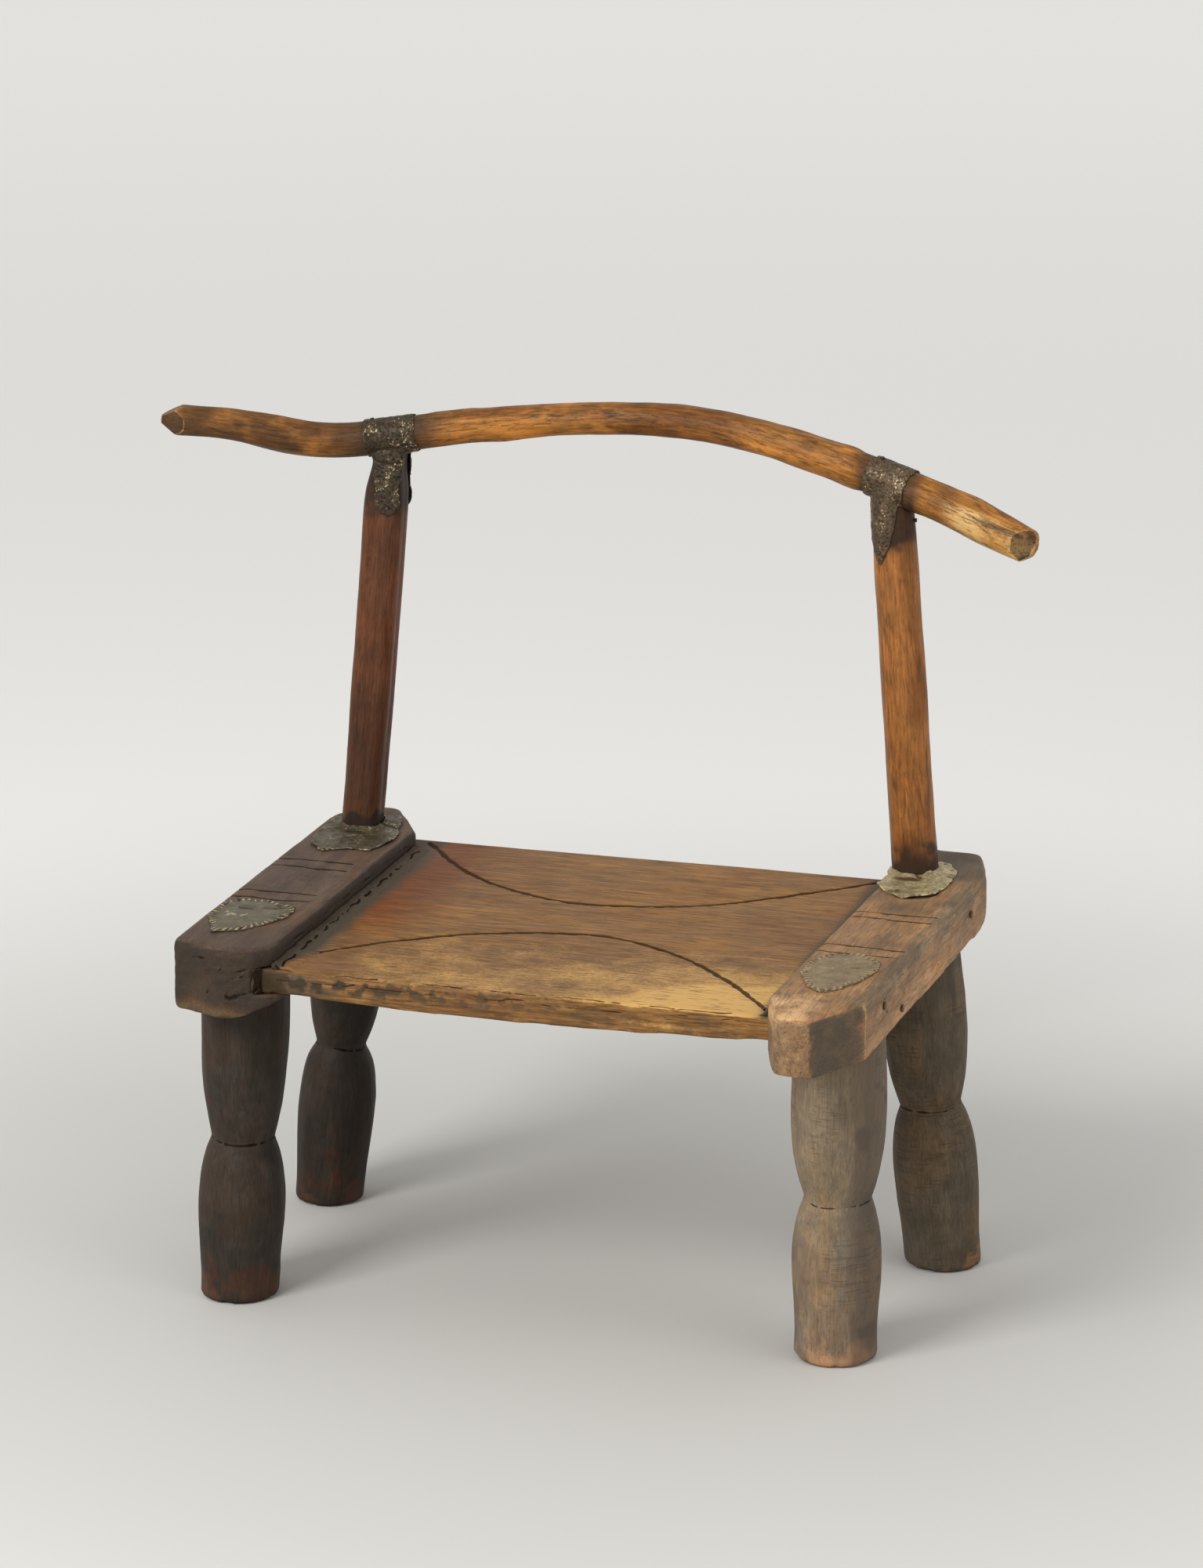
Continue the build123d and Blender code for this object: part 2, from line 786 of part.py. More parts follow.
left_front_radii = [depth / 2 for width, depth in left_post_sections]
right_radii = [diameter / 2 for diameter in right_post_sections]
tongue_tack_inset = 9.0  # from a tongue's tip
left_tack_drop = left_tongue_length - tongue_tack_inset
left_tack_aside = left_tongue_shift[1] * left_tack_drop / left_tongue_length
right_tack_drop = right_tongue_length - tongue_tack_inset
right_tack_lean = right_tongue_shift[1] * 2 / right_post_sections[-2]  # round the post, not across it
side_tack_drop = 26.0
front, back, right = (0, -1, 0), (0, 1, 0), (1, 0, 0)

with BuildPart() as left_strap_tacks:
    planes = [
        branch_top(left_saddle, branch_at_left_saddle, -left_strap_width / 3),
        post_surface(left_saddle, left_post_foot, left_front_radii, left_tack_drop, front, left_tack_aside),
        post_surface(left_saddle, left_post_foot, left_front_radii, left_tack_drop, back, left_tack_aside),
    ]
    add(tacks_at(planes))

with BuildPart() as right_strap_tacks:
    front_way = (right_tack_lean, -1, 0)
    back_way = (right_tack_lean, 1, 0)
    planes = [
        branch_top(right_saddle, branch_at_right_saddle, -right_strap_width / 3),
        post_surface(right_saddle, right_post_foot, right_radii, right_tack_drop, front_way),
        post_surface(right_saddle, right_post_foot, right_radii, right_tack_drop, back_way),
        post_surface(right_saddle, right_post_foot, right_radii, side_tack_drop, right),
    ]
    add(tacks_at(planes))

# ---------------------------------------------------------------- pieces cut for what joins them

with BuildPart() as left_rail:
    add(left_rail_blank.part)
    for name in ("front_left_leg", "rear_left_leg"):
        add(leg_round(legs[name], tenon_diameter + 2 * tenon_clearance), mode=Mode.SUBTRACT)
    add(post_tenon(left_post_foot, left_saddle, tenon_clearance), mode=Mode.SUBTRACT)
    # The groove runs out through the rail's front end.
    with BuildSketch(Plane.XY.offset(rail_top - lip_drop)):
        add(seat_outline(tenon_clearance, left_rail_front))
    extrude(amount=seat_end_thickness + tongue_clearance, mode=Mode.SUBTRACT)
    with BuildSketch(left_frame):
        with Locations(*[(-left_half + carved_length / 2, along) for along in left_carved_lines]):
            Rectangle(carved_length, line_width)
    extrude(amount=-line_depth, mode=Mode.SUBTRACT)
    add(front_left_patch_tacks.part, mode=Mode.SUBTRACT)
    add(rear_left_collar_tacks.part, mode=Mode.SUBTRACT)

with BuildPart() as right_rail:
    add(right_rail_blank.part)
    for name in ("front_right_leg", "rear_right_leg"):
        add(leg_round(legs[name], tenon_diameter + 2 * tenon_clearance), mode=Mode.SUBTRACT)
    add(post_tenon(right_post_foot, right_saddle, tenon_clearance), mode=Mode.SUBTRACT)
    # This groove stops where the plank stops.
    with BuildSketch(Plane.XY.offset(rail_top - lip_drop)):
        add(seat_outline(tenon_clearance))
    extrude(amount=seat_end_thickness + tongue_clearance, mode=Mode.SUBTRACT)
    with BuildSketch(right_frame):
        with Locations(*[(-right_half + 1 + carved_length / 2, along) for along in right_carved_lines]):
            Rectangle(carved_length, line_width)
    extrude(amount=-line_depth, mode=Mode.SUBTRACT)
    add(front_right_patch_tacks.part, mode=Mode.SUBTRACT)
    add(rear_right_collar_tacks.part, mode=Mode.SUBTRACT)
    add(right_rail_nails.part, mode=Mode.SUBTRACT)

with BuildPart() as left_upright:
    add(left_post_blank.part)
    add(left_strap_tacks.part, mode=Mode.SUBTRACT)

with BuildPart() as right_upright:
    add(right_post_blank.part)
    add(right_strap_tacks.part, mode=Mode.SUBTRACT)

with BuildPart() as backrest_branch:
    add(branch_blank.part)
    add(left_strap_tacks.part, mode=Mode.SUBTRACT)
    add(right_strap_tacks.part, mode=Mode.SUBTRACT)

with BuildPart() as left_saddle_strap:
    add(left_strap_blank.part)
    add(left_strap_tacks.part, mode=Mode.SUBTRACT)

with BuildPart() as right_saddle_strap:
    add(right_strap_blank.part)
    add(right_strap_tacks.part, mode=Mode.SUBTRACT)

# ---------------------------------------------------------------- sheet-metal patches and collars


def sheet_outline(corners):
    """Level outline of a sheet with its corners eased."""
    with BuildSketch() as outline:
        with BuildLine():
            Polyline(*corners, close=True)
        make_face()
        fillet(outline.vertices(), sheet_corner)
    return outline.sketch


def moved(middle, outline):
    """Outline's corners carried to where its middle is."""
    return [(middle.X + across, middle.Y + along) for across, along in outline]


with BuildPart() as front_left_patch:
    with BuildSketch(Plane.XY.offset(rail_top)):
        add(sheet_outline(moved(front_left_head, front_left_outline)))
    extrude(amount=sheet)
    add(front_left_patch_tacks.part, mode=Mode.SUBTRACT)

with BuildPart() as front_right_patch:
    with BuildSketch(Plane.XY.offset(rail_top)):
        add(sheet_outline(moved(front_right_head, front_right_outline)))
    extrude(amount=sheet)
    add(front_right_patch_tacks.part, mode=Mode.SUBTRACT)


def skirt(foot, saddle, section, flare, top):
    """Flared body round a post's foot: section(grow) is the post's section there."""
    with BuildPart() as body:
        with BuildSketch(Plane(origin=foot)):
            add(section(flare))
        with BuildSketch(post_plane(foot, saddle, collar_rise / (saddle - foot).length)):
            add(section(top))
        loft()
    return body.part


def left_foot_section(grow):
    """Left post's section at its foot."""
    width, depth = left_post_sections[0]
    with BuildSketch() as section:
        RectangleRounded(width + 2 * grow, depth + 2 * grow, left_post_corner + grow)
    return section.sketch


def right_foot_section(grow):
    """Right post's section at its foot."""
    with BuildSketch() as section:
        Circle(right_post_sections[0] / 2 + grow)
    return section.sketch


def collar_hollow(foot, saddle, section):
    """What a skirt leaves free inside, down to nothing at its top."""
    return skirt(foot, saddle, section, collar_flare - sheet, collar_gap)


with BuildPart() as rear_left_collar:
    with BuildSketch(Plane.XY.offset(rail_top)):
        corners = moved(rear_left_head, left_collar_front) + moved(left_post_foot, left_collar_back)
        add(sheet_outline(corners))
    extrude(amount=sheet)
    add(skirt(left_post_foot, left_saddle, left_foot_section, collar_flare, sheet))
    add(collar_hollow(left_post_foot, left_saddle, left_foot_section), mode=Mode.SUBTRACT)
    add(left_post_blank.part, mode=Mode.SUBTRACT)
    add(rear_left_collar_tacks.part, mode=Mode.SUBTRACT)

with BuildPart() as rear_right_collar:
    with BuildSketch(Plane.XY.offset(rail_top)):
        corners = moved(rear_right_head, right_collar_front) + moved(right_post_foot, right_collar_back)
        add(sheet_outline(corners))
    extrude(amount=sheet)
    add(skirt(right_post_foot, right_saddle, right_foot_section, collar_flare, sheet))
    # On the seat's side the sheet ends over the rail's edge.
    with BuildSketch(right_frame):
        with Locations((far / 2 - right_half, 0)):
            Rectangle(far, far * 2)
    extrude(amount=far / 4, mode=Mode.INTERSECT)
    add(collar_hollow(right_post_foot, right_saddle, right_foot_section), mode=Mode.SUBTRACT)
    add(right_post_blank.part, mode=Mode.SUBTRACT)
    add(rear_right_collar_tacks.part, mode=Mode.SUBTRACT)

# ---------------------------------------------------------------- pitch along the seams


def pitch_bead(frame, half, side, width, back_end):
    """Bead in the corner between the seat and a rail's inner face; side is +1 or -1 across the rail."""
    with BuildPart() as bead:
        with BuildSketch(end_view(frame).offset(-back_end)):
            with BuildLine():
                Polyline(
                    (side * half, -seat_drop),
                    (side * (half + width), -seat_drop),
                    (side * (half + width), -seat_drop + pitch_film),
                    (side * (half + width / 3), -seat_drop + pitch_crest),
                    (side * (half + pitch_film), -seat_drop + pitch_height),
                    (side * half, -seat_drop + pitch_height),
                    close=True,
                )
            make_face()
        extrude(amount=far)
        with BuildSketch(Plane.XY.offset(seat_top)):
            add(seat_outline(-seat_edge_round))
        extrude(amount=pitch_height, mode=Mode.INTERSECT)
    return bead.part


left_bead_end = left_rail_back - left_cuts[2][1] - pitch_height  # before the long cut across the corner

with BuildPart() as left_groove_plug:
    with BuildSketch(left_frame.offset(-lip_drop)):
        add(left_outline(left_half, left_cuts))
    extrude(amount=seat_end_thickness + tongue_clearance)
    with BuildSketch(Plane.XY.offset(rail_top - lip_drop)):
        add(seat_outline(tenon_clearance, left_rail_front))
    extrude(amount=seat_drop + seat_end_thickness, mode=Mode.INTERSECT)
    with BuildSketch(Plane.XY.offset(rail_top - lip_drop)):
        with Locations(Location((seat_middle_x, seat_middle_y - half_depth + far / 2), seat_turn)):
            Rectangle(2 * far, far + tongue_clearance)
    extrude(amount=far / 4, mode=Mode.SUBTRACT)

with BuildPart() as left_seam_filler:
    add(pitch_bead(left_frame, left_half, 1, pitch_width_left, left_bead_end))
    add(left_groove_plug.part)

with BuildPart() as right_seam_filler:
    add(pitch_bead(right_frame, right_half, -1, pitch_width_right, right_rail_back))

# ---------------------------------------------------------------- the finished pieces

pieces = {
    "seat_plank": seat_plank,
    "left_rail": left_rail,
    "right_rail": right_rail,
    "front_left_leg": front_left_leg,
    "front_right_leg": front_right_leg,
    "rear_left_leg": rear_left_leg,
    "rear_right_leg": rear_right_leg,
    "left_upright": left_upright,
    "right_upright": right_upright,
    "backrest_branch": backrest_branch,
    "left_saddle_strap": left_saddle_strap,
    "right_saddle_strap": right_saddle_strap,
    "left_strap_tacks": left_strap_tacks,
    "right_strap_tacks": right_strap_tacks,
    "front_left_patch": front_left_patch,
    "front_right_patch": front_right_patch,
    "front_left_patch_tacks": front_left_patch_tacks,
    "front_right_patch_tacks": front_right_patch_tacks,
    "rear_left_collar": rear_left_collar,
    "rear_right_collar": rear_right_collar,
    "rear_left_collar_tacks": rear_left_collar_tacks,
    "rear_right_collar_tacks": rear_right_collar_tacks,
    "right_rail_nails": right_rail_nails,
    "left_seam_filler": left_seam_filler,
    "right_seam_filler": right_seam_filler,
}
for name, piece in pieces.items():
    piece.part.label = name
    export_step(piece.part, f"parts/{name}.step")
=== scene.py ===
import logging
import math
from dataclasses import dataclass, replace
from enum import Enum
from functools import reduce
from itertools import product
from typing import Any, ClassVar, Optional, Sequence, Union

import bmesh
import bpy
import numpy as np
from mathutils import Matrix, Vector
from mathutils.kdtree import KDTree


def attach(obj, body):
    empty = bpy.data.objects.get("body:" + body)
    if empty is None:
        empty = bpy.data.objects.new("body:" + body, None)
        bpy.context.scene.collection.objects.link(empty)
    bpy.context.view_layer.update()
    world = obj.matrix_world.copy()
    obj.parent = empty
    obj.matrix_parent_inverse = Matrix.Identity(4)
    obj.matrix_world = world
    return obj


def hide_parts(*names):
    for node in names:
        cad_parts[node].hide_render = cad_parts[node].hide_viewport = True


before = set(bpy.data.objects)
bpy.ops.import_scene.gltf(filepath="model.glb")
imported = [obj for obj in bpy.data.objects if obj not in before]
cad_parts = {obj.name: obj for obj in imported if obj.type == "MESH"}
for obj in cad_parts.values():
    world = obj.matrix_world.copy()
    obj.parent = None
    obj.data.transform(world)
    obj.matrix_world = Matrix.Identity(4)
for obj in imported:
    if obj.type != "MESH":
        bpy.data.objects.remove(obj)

log = logging.getLogger("birthing_chair")

MM = 0.001
FAR_OFF = 1e9
Array = np.ndarray
Triple = tuple[float, float, float]
Colour = Triple
WHITE: Colour = (1.0, 1.0, 1.0)
RAIL_TOP = 263 * MM
SEAT_TOP = 249 * MM
SHEET_THICKNESS = 1.2 * MM


# ---------------------------------------------------------------- shader graph


@dataclass(frozen=True)
class Signal:
    """A number or vector coming out of a node, with arithmetic that adds Math nodes."""

    graph: "Graph"
    socket: Optional[bpy.types.NodeSocket]

    def _math(self, operation: str, first: Any, second: Any, clamp: bool = False) -> "Signal":
        """One Math node's output."""
        return self.graph.node("ShaderNodeMath", {"operation": operation, "use_clamp": clamp}, {0: first, 1: second})

    def __add__(self, other: "Number") -> "Signal":
        """Sum."""
        return self._math("ADD", self, other)

    def __mul__(self, other: "Number") -> "Signal":
        """Product."""
        return self._math("MULTIPLY", self, other)

    def __sub__(self, other: "Number") -> "Signal":
        """Difference."""
        return self._math("SUBTRACT", self, other)

    def __rsub__(self, other: "Number") -> "Signal":
        """Difference, the other way round."""
        return self._math("SUBTRACT", other, self)

    __radd__, __rmul__ = __add__, __mul__

    def clamped(self) -> "Signal":
        """Held between 0 and 1."""
        return self._math("ADD", self, 0.0, clamp=True)

    def swing(self, strength: float) -> "Signal":
        """Noise around 0.5 turned into a swing of some strength around 0."""
        return (self - 0.5) * strength

    def over(self, low: float, high: float) -> "Signal":
        """Smooth step from 0 at low to 1 at high, either way round."""
        inputs = {"Value": self, "From Min": low, "From Max": high, "To Min": 0.0, "To Max": 1.0}
        return self.graph.node("ShaderNodeMapRange", {"interpolation_type": "SMOOTHSTEP"}, inputs, "Result")


Number = Union[float, Signal]


@dataclass
class Graph:
    """The nodes of a material or world, made through one method."""

    owner: Union[bpy.types.Material, bpy.types.World]

    def __post_init__(self) -> None:
        """Start from an empty tree."""
        self.owner.use_nodes = True
        self.owner.node_tree.nodes.clear()

    def node(self, kind: str, settings: dict[str, Any], inputs: dict[Any, Any], output: Union[int, str] = 0) -> Signal:
        """Add any node.

        Args:
            kind: the node's type name.
            settings: properties, set before the sockets; "stops" gives a colour ramp's stops.
            inputs: socket name or number to a value or a Signal.
            output: the socket that the Signal stands for.

        Returns:
            The chosen output, empty for a node without outputs.
        """
        tree = self.owner.node_tree
        made = tree.nodes.new(kind)
        for name, value in settings.items():
            if name == "stops":
                self._fill_ramp(made.color_ramp.elements, value)
            else:
                setattr(made, name, value)
        for name, value in inputs.items():
            if isinstance(value, Signal):
                tree.links.new(value.socket, made.inputs[name])
            else:
                made.inputs[name].default_value = value
        return Signal(self, made.outputs[output] if made.outputs else None)

    @staticmethod
    def _fill_ramp(elements: bpy.types.ColorRampElements, stops: Sequence[tuple[float, Colour]]) -> None:
        """Set a colour ramp's stops.

        Args:
            elements: the ramp's own stops, two at first.
            stops: (place, colour) pairs in order.
        """
        while len(elements) < len(stops):
            elements.new(0.5)
        for element, (place, colour) in zip(elements, stops):
            element.position = place
            element.color = (*colour, 1.0)

    def attribute(self, name: str) -> Signal:
        """A number stored on the piece's points."""
        return self.node("ShaderNodeAttribute", {"attribute_name": name}, {}, "Fac")

    def vector(self, operation: str, first: Any, second: Any) -> Signal:
        """One Vector Math node's output."""
        return self.node("ShaderNodeVectorMath", {"operation": operation}, {0: first, 1: second})

    def grain(self, scale: Triple, shift: float) -> Signal:
        """The stored "grain" in metres, moved by shift along each axis and then stretched."""
        stored = self.node("ShaderNodeAttribute", {"attribute_name": "grain"}, {}, "Vector")
        return self.vector("MULTIPLY", self.vector("ADD", stored, (shift,) * 3), scale)

    def noise(self, scale: Triple, shift: float, detail: float, roughness: float = 0.55, warp: float = 0.0) -> Signal:
        """Smooth noise around 0.5 over the grain."""
        inputs = {"Scale": 1.0, "Detail": detail, "Roughness": roughness, "Distortion": warp}
        return self.node("ShaderNodeTexNoise", {}, {"Vector": self.grain(scale, shift), **inputs})

    def cells(self, scale: float, shift: float) -> Signal:
        """Distance to points scattered through the grain."""
        inputs = {"Vector": self.grain((scale,) * 3, shift), "Scale": 1.0}
        return self.node("ShaderNodeTexVoronoi", {}, inputs, "Distance")

    def ramp(self, value: Signal, stops: Sequence[tuple[float, Colour]]) -> Signal:
        """Colours along a number."""
        return self.node("ShaderNodeValToRGB", {"stops": stops}, {"Fac": value}, "Color")

    def blend(self, share: Number, under: Union[Colour, Signal], over: Union[Colour, Signal]) -> Signal:
        """Mix two colours; share says how much of the upper one shows."""
        colours = [value if isinstance(value, Signal) else (*value, 1.0) for value in (under, over)]
        return self.node("ShaderNodeMix", {"data_type": "RGBA"}, {0: share, 6: colours[0], 7: colours[1]}, 2)

    def shade(self, colour: Signal, amount: Signal) -> Signal:
        """Lighten or darken a colour by a number around 1."""
        return self.vector("MULTIPLY", colour, self.node("ShaderNodeCombineXYZ", {}, dict.fromkeys(range(3), amount)))

    def bump(self, height: Signal, depth: float, below: Optional[Signal] = None) -> Signal:
        """Normal of fine relief, depth metres for a height of 1, over the relief below it."""
        under = {"Normal": below} if below else {}
        return self.node("ShaderNodeBump", {}, {"Strength": 1.0, "Distance": depth, "Height": height, **under})

    def surface(self, colour: Signal, roughness: Number, specular: float, **sockets: Number) -> None:
        """Finish with one Principled shader; further sockets go by their names."""
        inputs = {"Base Color": colour, "Roughness": roughness, "Specular IOR Level": specular, **sockets}
        self.node("ShaderNodeOutputMaterial", {}, {"Surface": self.node("ShaderNodeBsdfPrincipled", {}, inputs)})


# ---------------------------------------------------------------- finishes


def faded(colour: Colour, factor: float) -> Colour:
    """A colour times a factor."""
    return tuple(factor * channel for channel in colour)


@dataclass(frozen=True)
class WoodFinish:
    """Oiled, handled hardwood: fibres and tone bands along the grain, bare edges, dark hollows.

    The piece's points carry "grain" (metres, third axis along the grain), wear and painted light, "cut", stain and
    painted shade, and "tinge".
    """

    # How many per metre, twice across and once along the grain.
    SPECKS: ClassVar[Triple] = (620.0, 620.0, 420.0)
    STREAKS: ClassVar[Triple] = (130.0, 130.0, 22.0)
    TOOL_MARKS: ClassVar[Triple] = (60.0, 60.0, 620.0)
    MARKED_PLACES: ClassVar[Triple] = (30.0, 30.0, 16.0)
    MARK_DEPTH: ClassVar[float] = 0.3 * MM

    name: str
    mid: Colour
    bare: Colour  # worn edges, also painted sunlight and highlights
    stain: Colour  # soot, pitch and dirt, also painted shade
    cool: Colour  # tints of the broad blotches
    warm: Colour
    tinge: Colour = WHITE  # factor on the wood where the points' "tinge" is 1
    dark: float = 0.60  # darkest and lightest fibres against the middle tone
    light: float = 1.45
    width: float = 2.0 * MM  # of one fibre
    length: float = 22 * MM
    fibres: float = 1.0  # strengths
    bands: float = 0.6
    swell: float = 0.5
    blotch: float = 16.0  # blotches per metre
    blotches: float = 1.0
    pores: float = 0.35
    streaks: float = 0.0  # dark streaks in the grain
    polish: float = 0.5  # mean roughness
    sheen: float = 0.14
    relief: float = 0.00022
    chatter: float = 0.0  # short tool marks across the grain
    groove: float = 0.16  # factor on the wood in cuts
    shift: float = 0.0

    def make(self) -> bpy.types.Material:
        """Build the material.

        Returns:
            The material.
        """
        g = Graph(bpy.data.materials.new(self.name))
        w, n, shift = 1 / self.width, 1 / self.length, self.shift
        fibre = g.noise((w, w, n), shift + 3.1, 4.0, 0.68, 0.15)
        band = g.noise((w * 0.16, w * 0.16, n * 0.22), shift + 1.7, 4.0, 0.6, 0.5)
        swell = g.noise((w * 0.05, w * 0.05, n * 0.1), shift, 2.0, 0.5, 0.4)
        tone = fibre.swing(self.fibres) + band.swing(self.bands) + swell.swing(self.swell) + 0.5
        blotch = g.noise((self.blotch, self.blotch, self.blotch * 0.6), shift + 7.9, 5.0, 0.62, 0.3)
        cloud = g.noise((self.blotch * 2.6,) * 3, shift + 9.4, 4.0, 0.62, 0.3)
        speck = g.noise(self.SPECKS, shift, 3.0, 0.7)
        ends = faded(self.mid, self.dark), faded(self.mid, self.light)
        colour = g.ramp(tone, [(0.26, ends[0]), (0.5, self.mid), (0.74, ends[1])])
        colour = g.vector("MULTIPLY", colour, g.ramp(blotch, [(0.36, self.cool), (0.5, WHITE), (0.64, self.warm)]))
        tinged = (g.attribute("tinge") + blotch.swing(0.5)).over(0.08, 1.0)
        colour = g.vector("MULTIPLY", colour, g.blend(tinged, WHITE, self.tinge))
        colour = g.shade(colour, 1.0 + cloud.swing(0.95 * self.blotches) + speck.swing(0.22))
        # The bare colour shows where the wood is worn, and where sunlight and highlights are painted.
        worn = (g.attribute("wear") + speck.swing(0.6) + cloud.swing(0.9)).over(0.35, 1.0)
        colour = g.blend(worn * 0.85, colour, self.bare)
        pores = g.noise((1.5 * w, 1.5 * w, 2.0 * n), shift + 5.3, 3.0).over(0.57, 0.64) * self.pores
        colour = g.blend(pores, colour, faded(self.mid, 0.42))
        if self.streaks > 0.0:
            streak = g.noise(self.STREAKS, shift + 11.0, 5.0, 0.66, 0.9).over(0.54, 0.66)
            colour = g.blend(streak * self.streaks, colour, self.stain)
        stain, cut = g.attribute("stain"), g.attribute("cut")
        broken = cloud.swing(0.7) + speck.swing(0.35) + band.swing(0.3)
        # The stain colour shows where the wood is stained, and where shade is painted.
        soiled_and_shaded = (stain + broken * (stain * (1.0 - stain) * 4.0).clamped()).clamped()
        colour = g.blend(soiled_and_shaded, colour, self.stain)
        colour = g.blend(cut.over(0.15, 0.75) * 0.92, colour, faded(self.mid, self.groove))
        gloss = self.polish + cloud.swing(0.25) + fibre.swing(0.2) + cut * 0.2 + soiled_and_shaded * 0.08
        relief = g.bump(fibre * (0.5 * self.fibres) - pores + band * 0.25 + speck * 0.35, self.relief)
        if self.chatter > 0.0:
            mark = g.noise(self.TOOL_MARKS, shift + 13.0, 2.0, 0.5).over(0.52, 0.66)
            mark = mark * g.noise(self.MARKED_PLACES, shift + 17.0, 2.0, 0.5).over(0.50, 0.60)
            relief = g.bump(1.0 - mark, self.MARK_DEPTH * self.chatter, relief)
            colour = g.blend(mark * (0.34 * self.chatter), colour, faded(self.mid, 0.5))
        g.surface(colour, gloss.clamped(), self.sheen, Normal=relief)
        return g.owner


@dataclass(frozen=True)
class SheetFinish:
    """Old hammered sheet metal; the points carry "grain", "raised" (dents' rims) and "stain"."""

    # How many per metre.
    BLOTCHES: ClassVar[float] = 75.0
    SPECKS: ClassVar[float] = 430.0
    GRIT: ClassVar[float] = 1500.0
    GLINT_PLACES: ClassVar[float] = 520.0
    GRIT_DEPTH: ClassVar[float] = 0.25 * MM
    DENT_DEPTH: ClassVar[float] = 0.16  # share of a dent's width

    name: str
    dark: Colour
    mid: Colour
    bright: Colour
    dirt: Colour
    metallic: float = 0.4
    polish: float = 0.45
    speckle: float = 1.0
    painted_glints: float = 0.0  # share of small painted glints, highlights of reflected light
    dents: float = 400.0  # hammered dents per metre
    hammer: float = 1.0  # their strength
    shift: float = 0.0

    def make(self) -> bpy.types.Material:
        """Build the material.

        Returns:
            The material.
        """
        g = Graph(bpy.data.materials.new(self.name))
        blotch = g.noise((self.BLOTCHES,) * 3, self.shift, 4.0, 0.62, 0.5)
        fine = g.noise((self.SPECKS,) * 3, self.shift + 2.0, 3.0, 0.7)
        grit = g.noise((self.GRIT,) * 3, self.shift + 4.0, 2.0, 0.6)
        dent = g.cells(self.dents, self.shift + 6.0)
        colour = g.ramp((blotch * 0.5 + fine * 0.5).over(0.38, 0.62), [(0.0, self.dark), (1.0, self.mid)])
        raised = g.attribute("raised")
        rubbed = (raised + fine.swing(1.2) + blotch.swing(1.6)).over(0.65, 1.0) * self.speckle
        colour = g.blend(rubbed.clamped(), colour, self.bright)
        colour = g.shade(colour, dent.over(0.12, 0.62) * (0.6 * self.hammer) + (1.0 - 0.36 * self.hammer))
        soiled_and_shaded = (g.attribute("stain") + fine.swing(0.5) + blotch.swing(0.4)).over(0.35, 0.8)
        colour = g.blend(soiled_and_shaded, colour, self.dirt)
        gloss = self.polish + fine.swing(0.3) + soiled_and_shaded * 0.25 - rubbed * 0.12
        # Painted glints: small bright spots of reflected light, in patches.
        if self.painted_glints > 0.0:
            painted_glint = g.cells(self.GLINT_PLACES, self.shift + 8.0).over(0.40, 0.24)
            painted_glint = painted_glint * (blotch + raised.swing(0.1)).over(0.50, 0.58) * self.painted_glints
            colour = g.blend(painted_glint.clamped(), colour, tuple(min(0.9, c) for c in faded(self.bright, 2.1)))
            gloss = gloss - painted_glint * 0.2
        metallic = (self.metallic + rubbed * 0.2 - soiled_and_shaded * self.metallic).clamped()
        relief = g.bump(fine * 0.6 + grit * 0.4, self.GRIT_DEPTH)
        relief = g.bump(dent.over(0.0, 0.65), self.DENT_DEPTH * self.hammer / self.dents, relief)
        g.surface(colour, gloss.clamped(), 0.18, Normal=relief, Metallic=metallic)
        return g.owner


# ---------------------------------------------------------------- noise and masks for shaping meshes


def held(values: Array) -> Array:
    """Held between 0 and 1."""
    return np.clip(values, 0, 1)


def step_up(values: Array, low: Any, high: Any) -> Array:
    """Smooth step from 0 at low to 1 at high."""
    t = held((values - low) / (high - low))
    return t * t * (3 - 2 * t)


def most(*fields: Array) -> Array:
    """The greatest of several fields at each point."""
    return reduce(np.maximum, fields)


def painted(**fields: Array) -> dict[str, Array]:
    """Fields by name, each held between 0 and 1."""
    return {name: held(values) for name, values in fields.items()}


def between(start: float, end: float, count: int) -> list[tuple[int, float]]:
    """Even steps from start to end, numbered."""
    return [(step, start + (end - start) * step / (count - 1)) for step in range(count)]


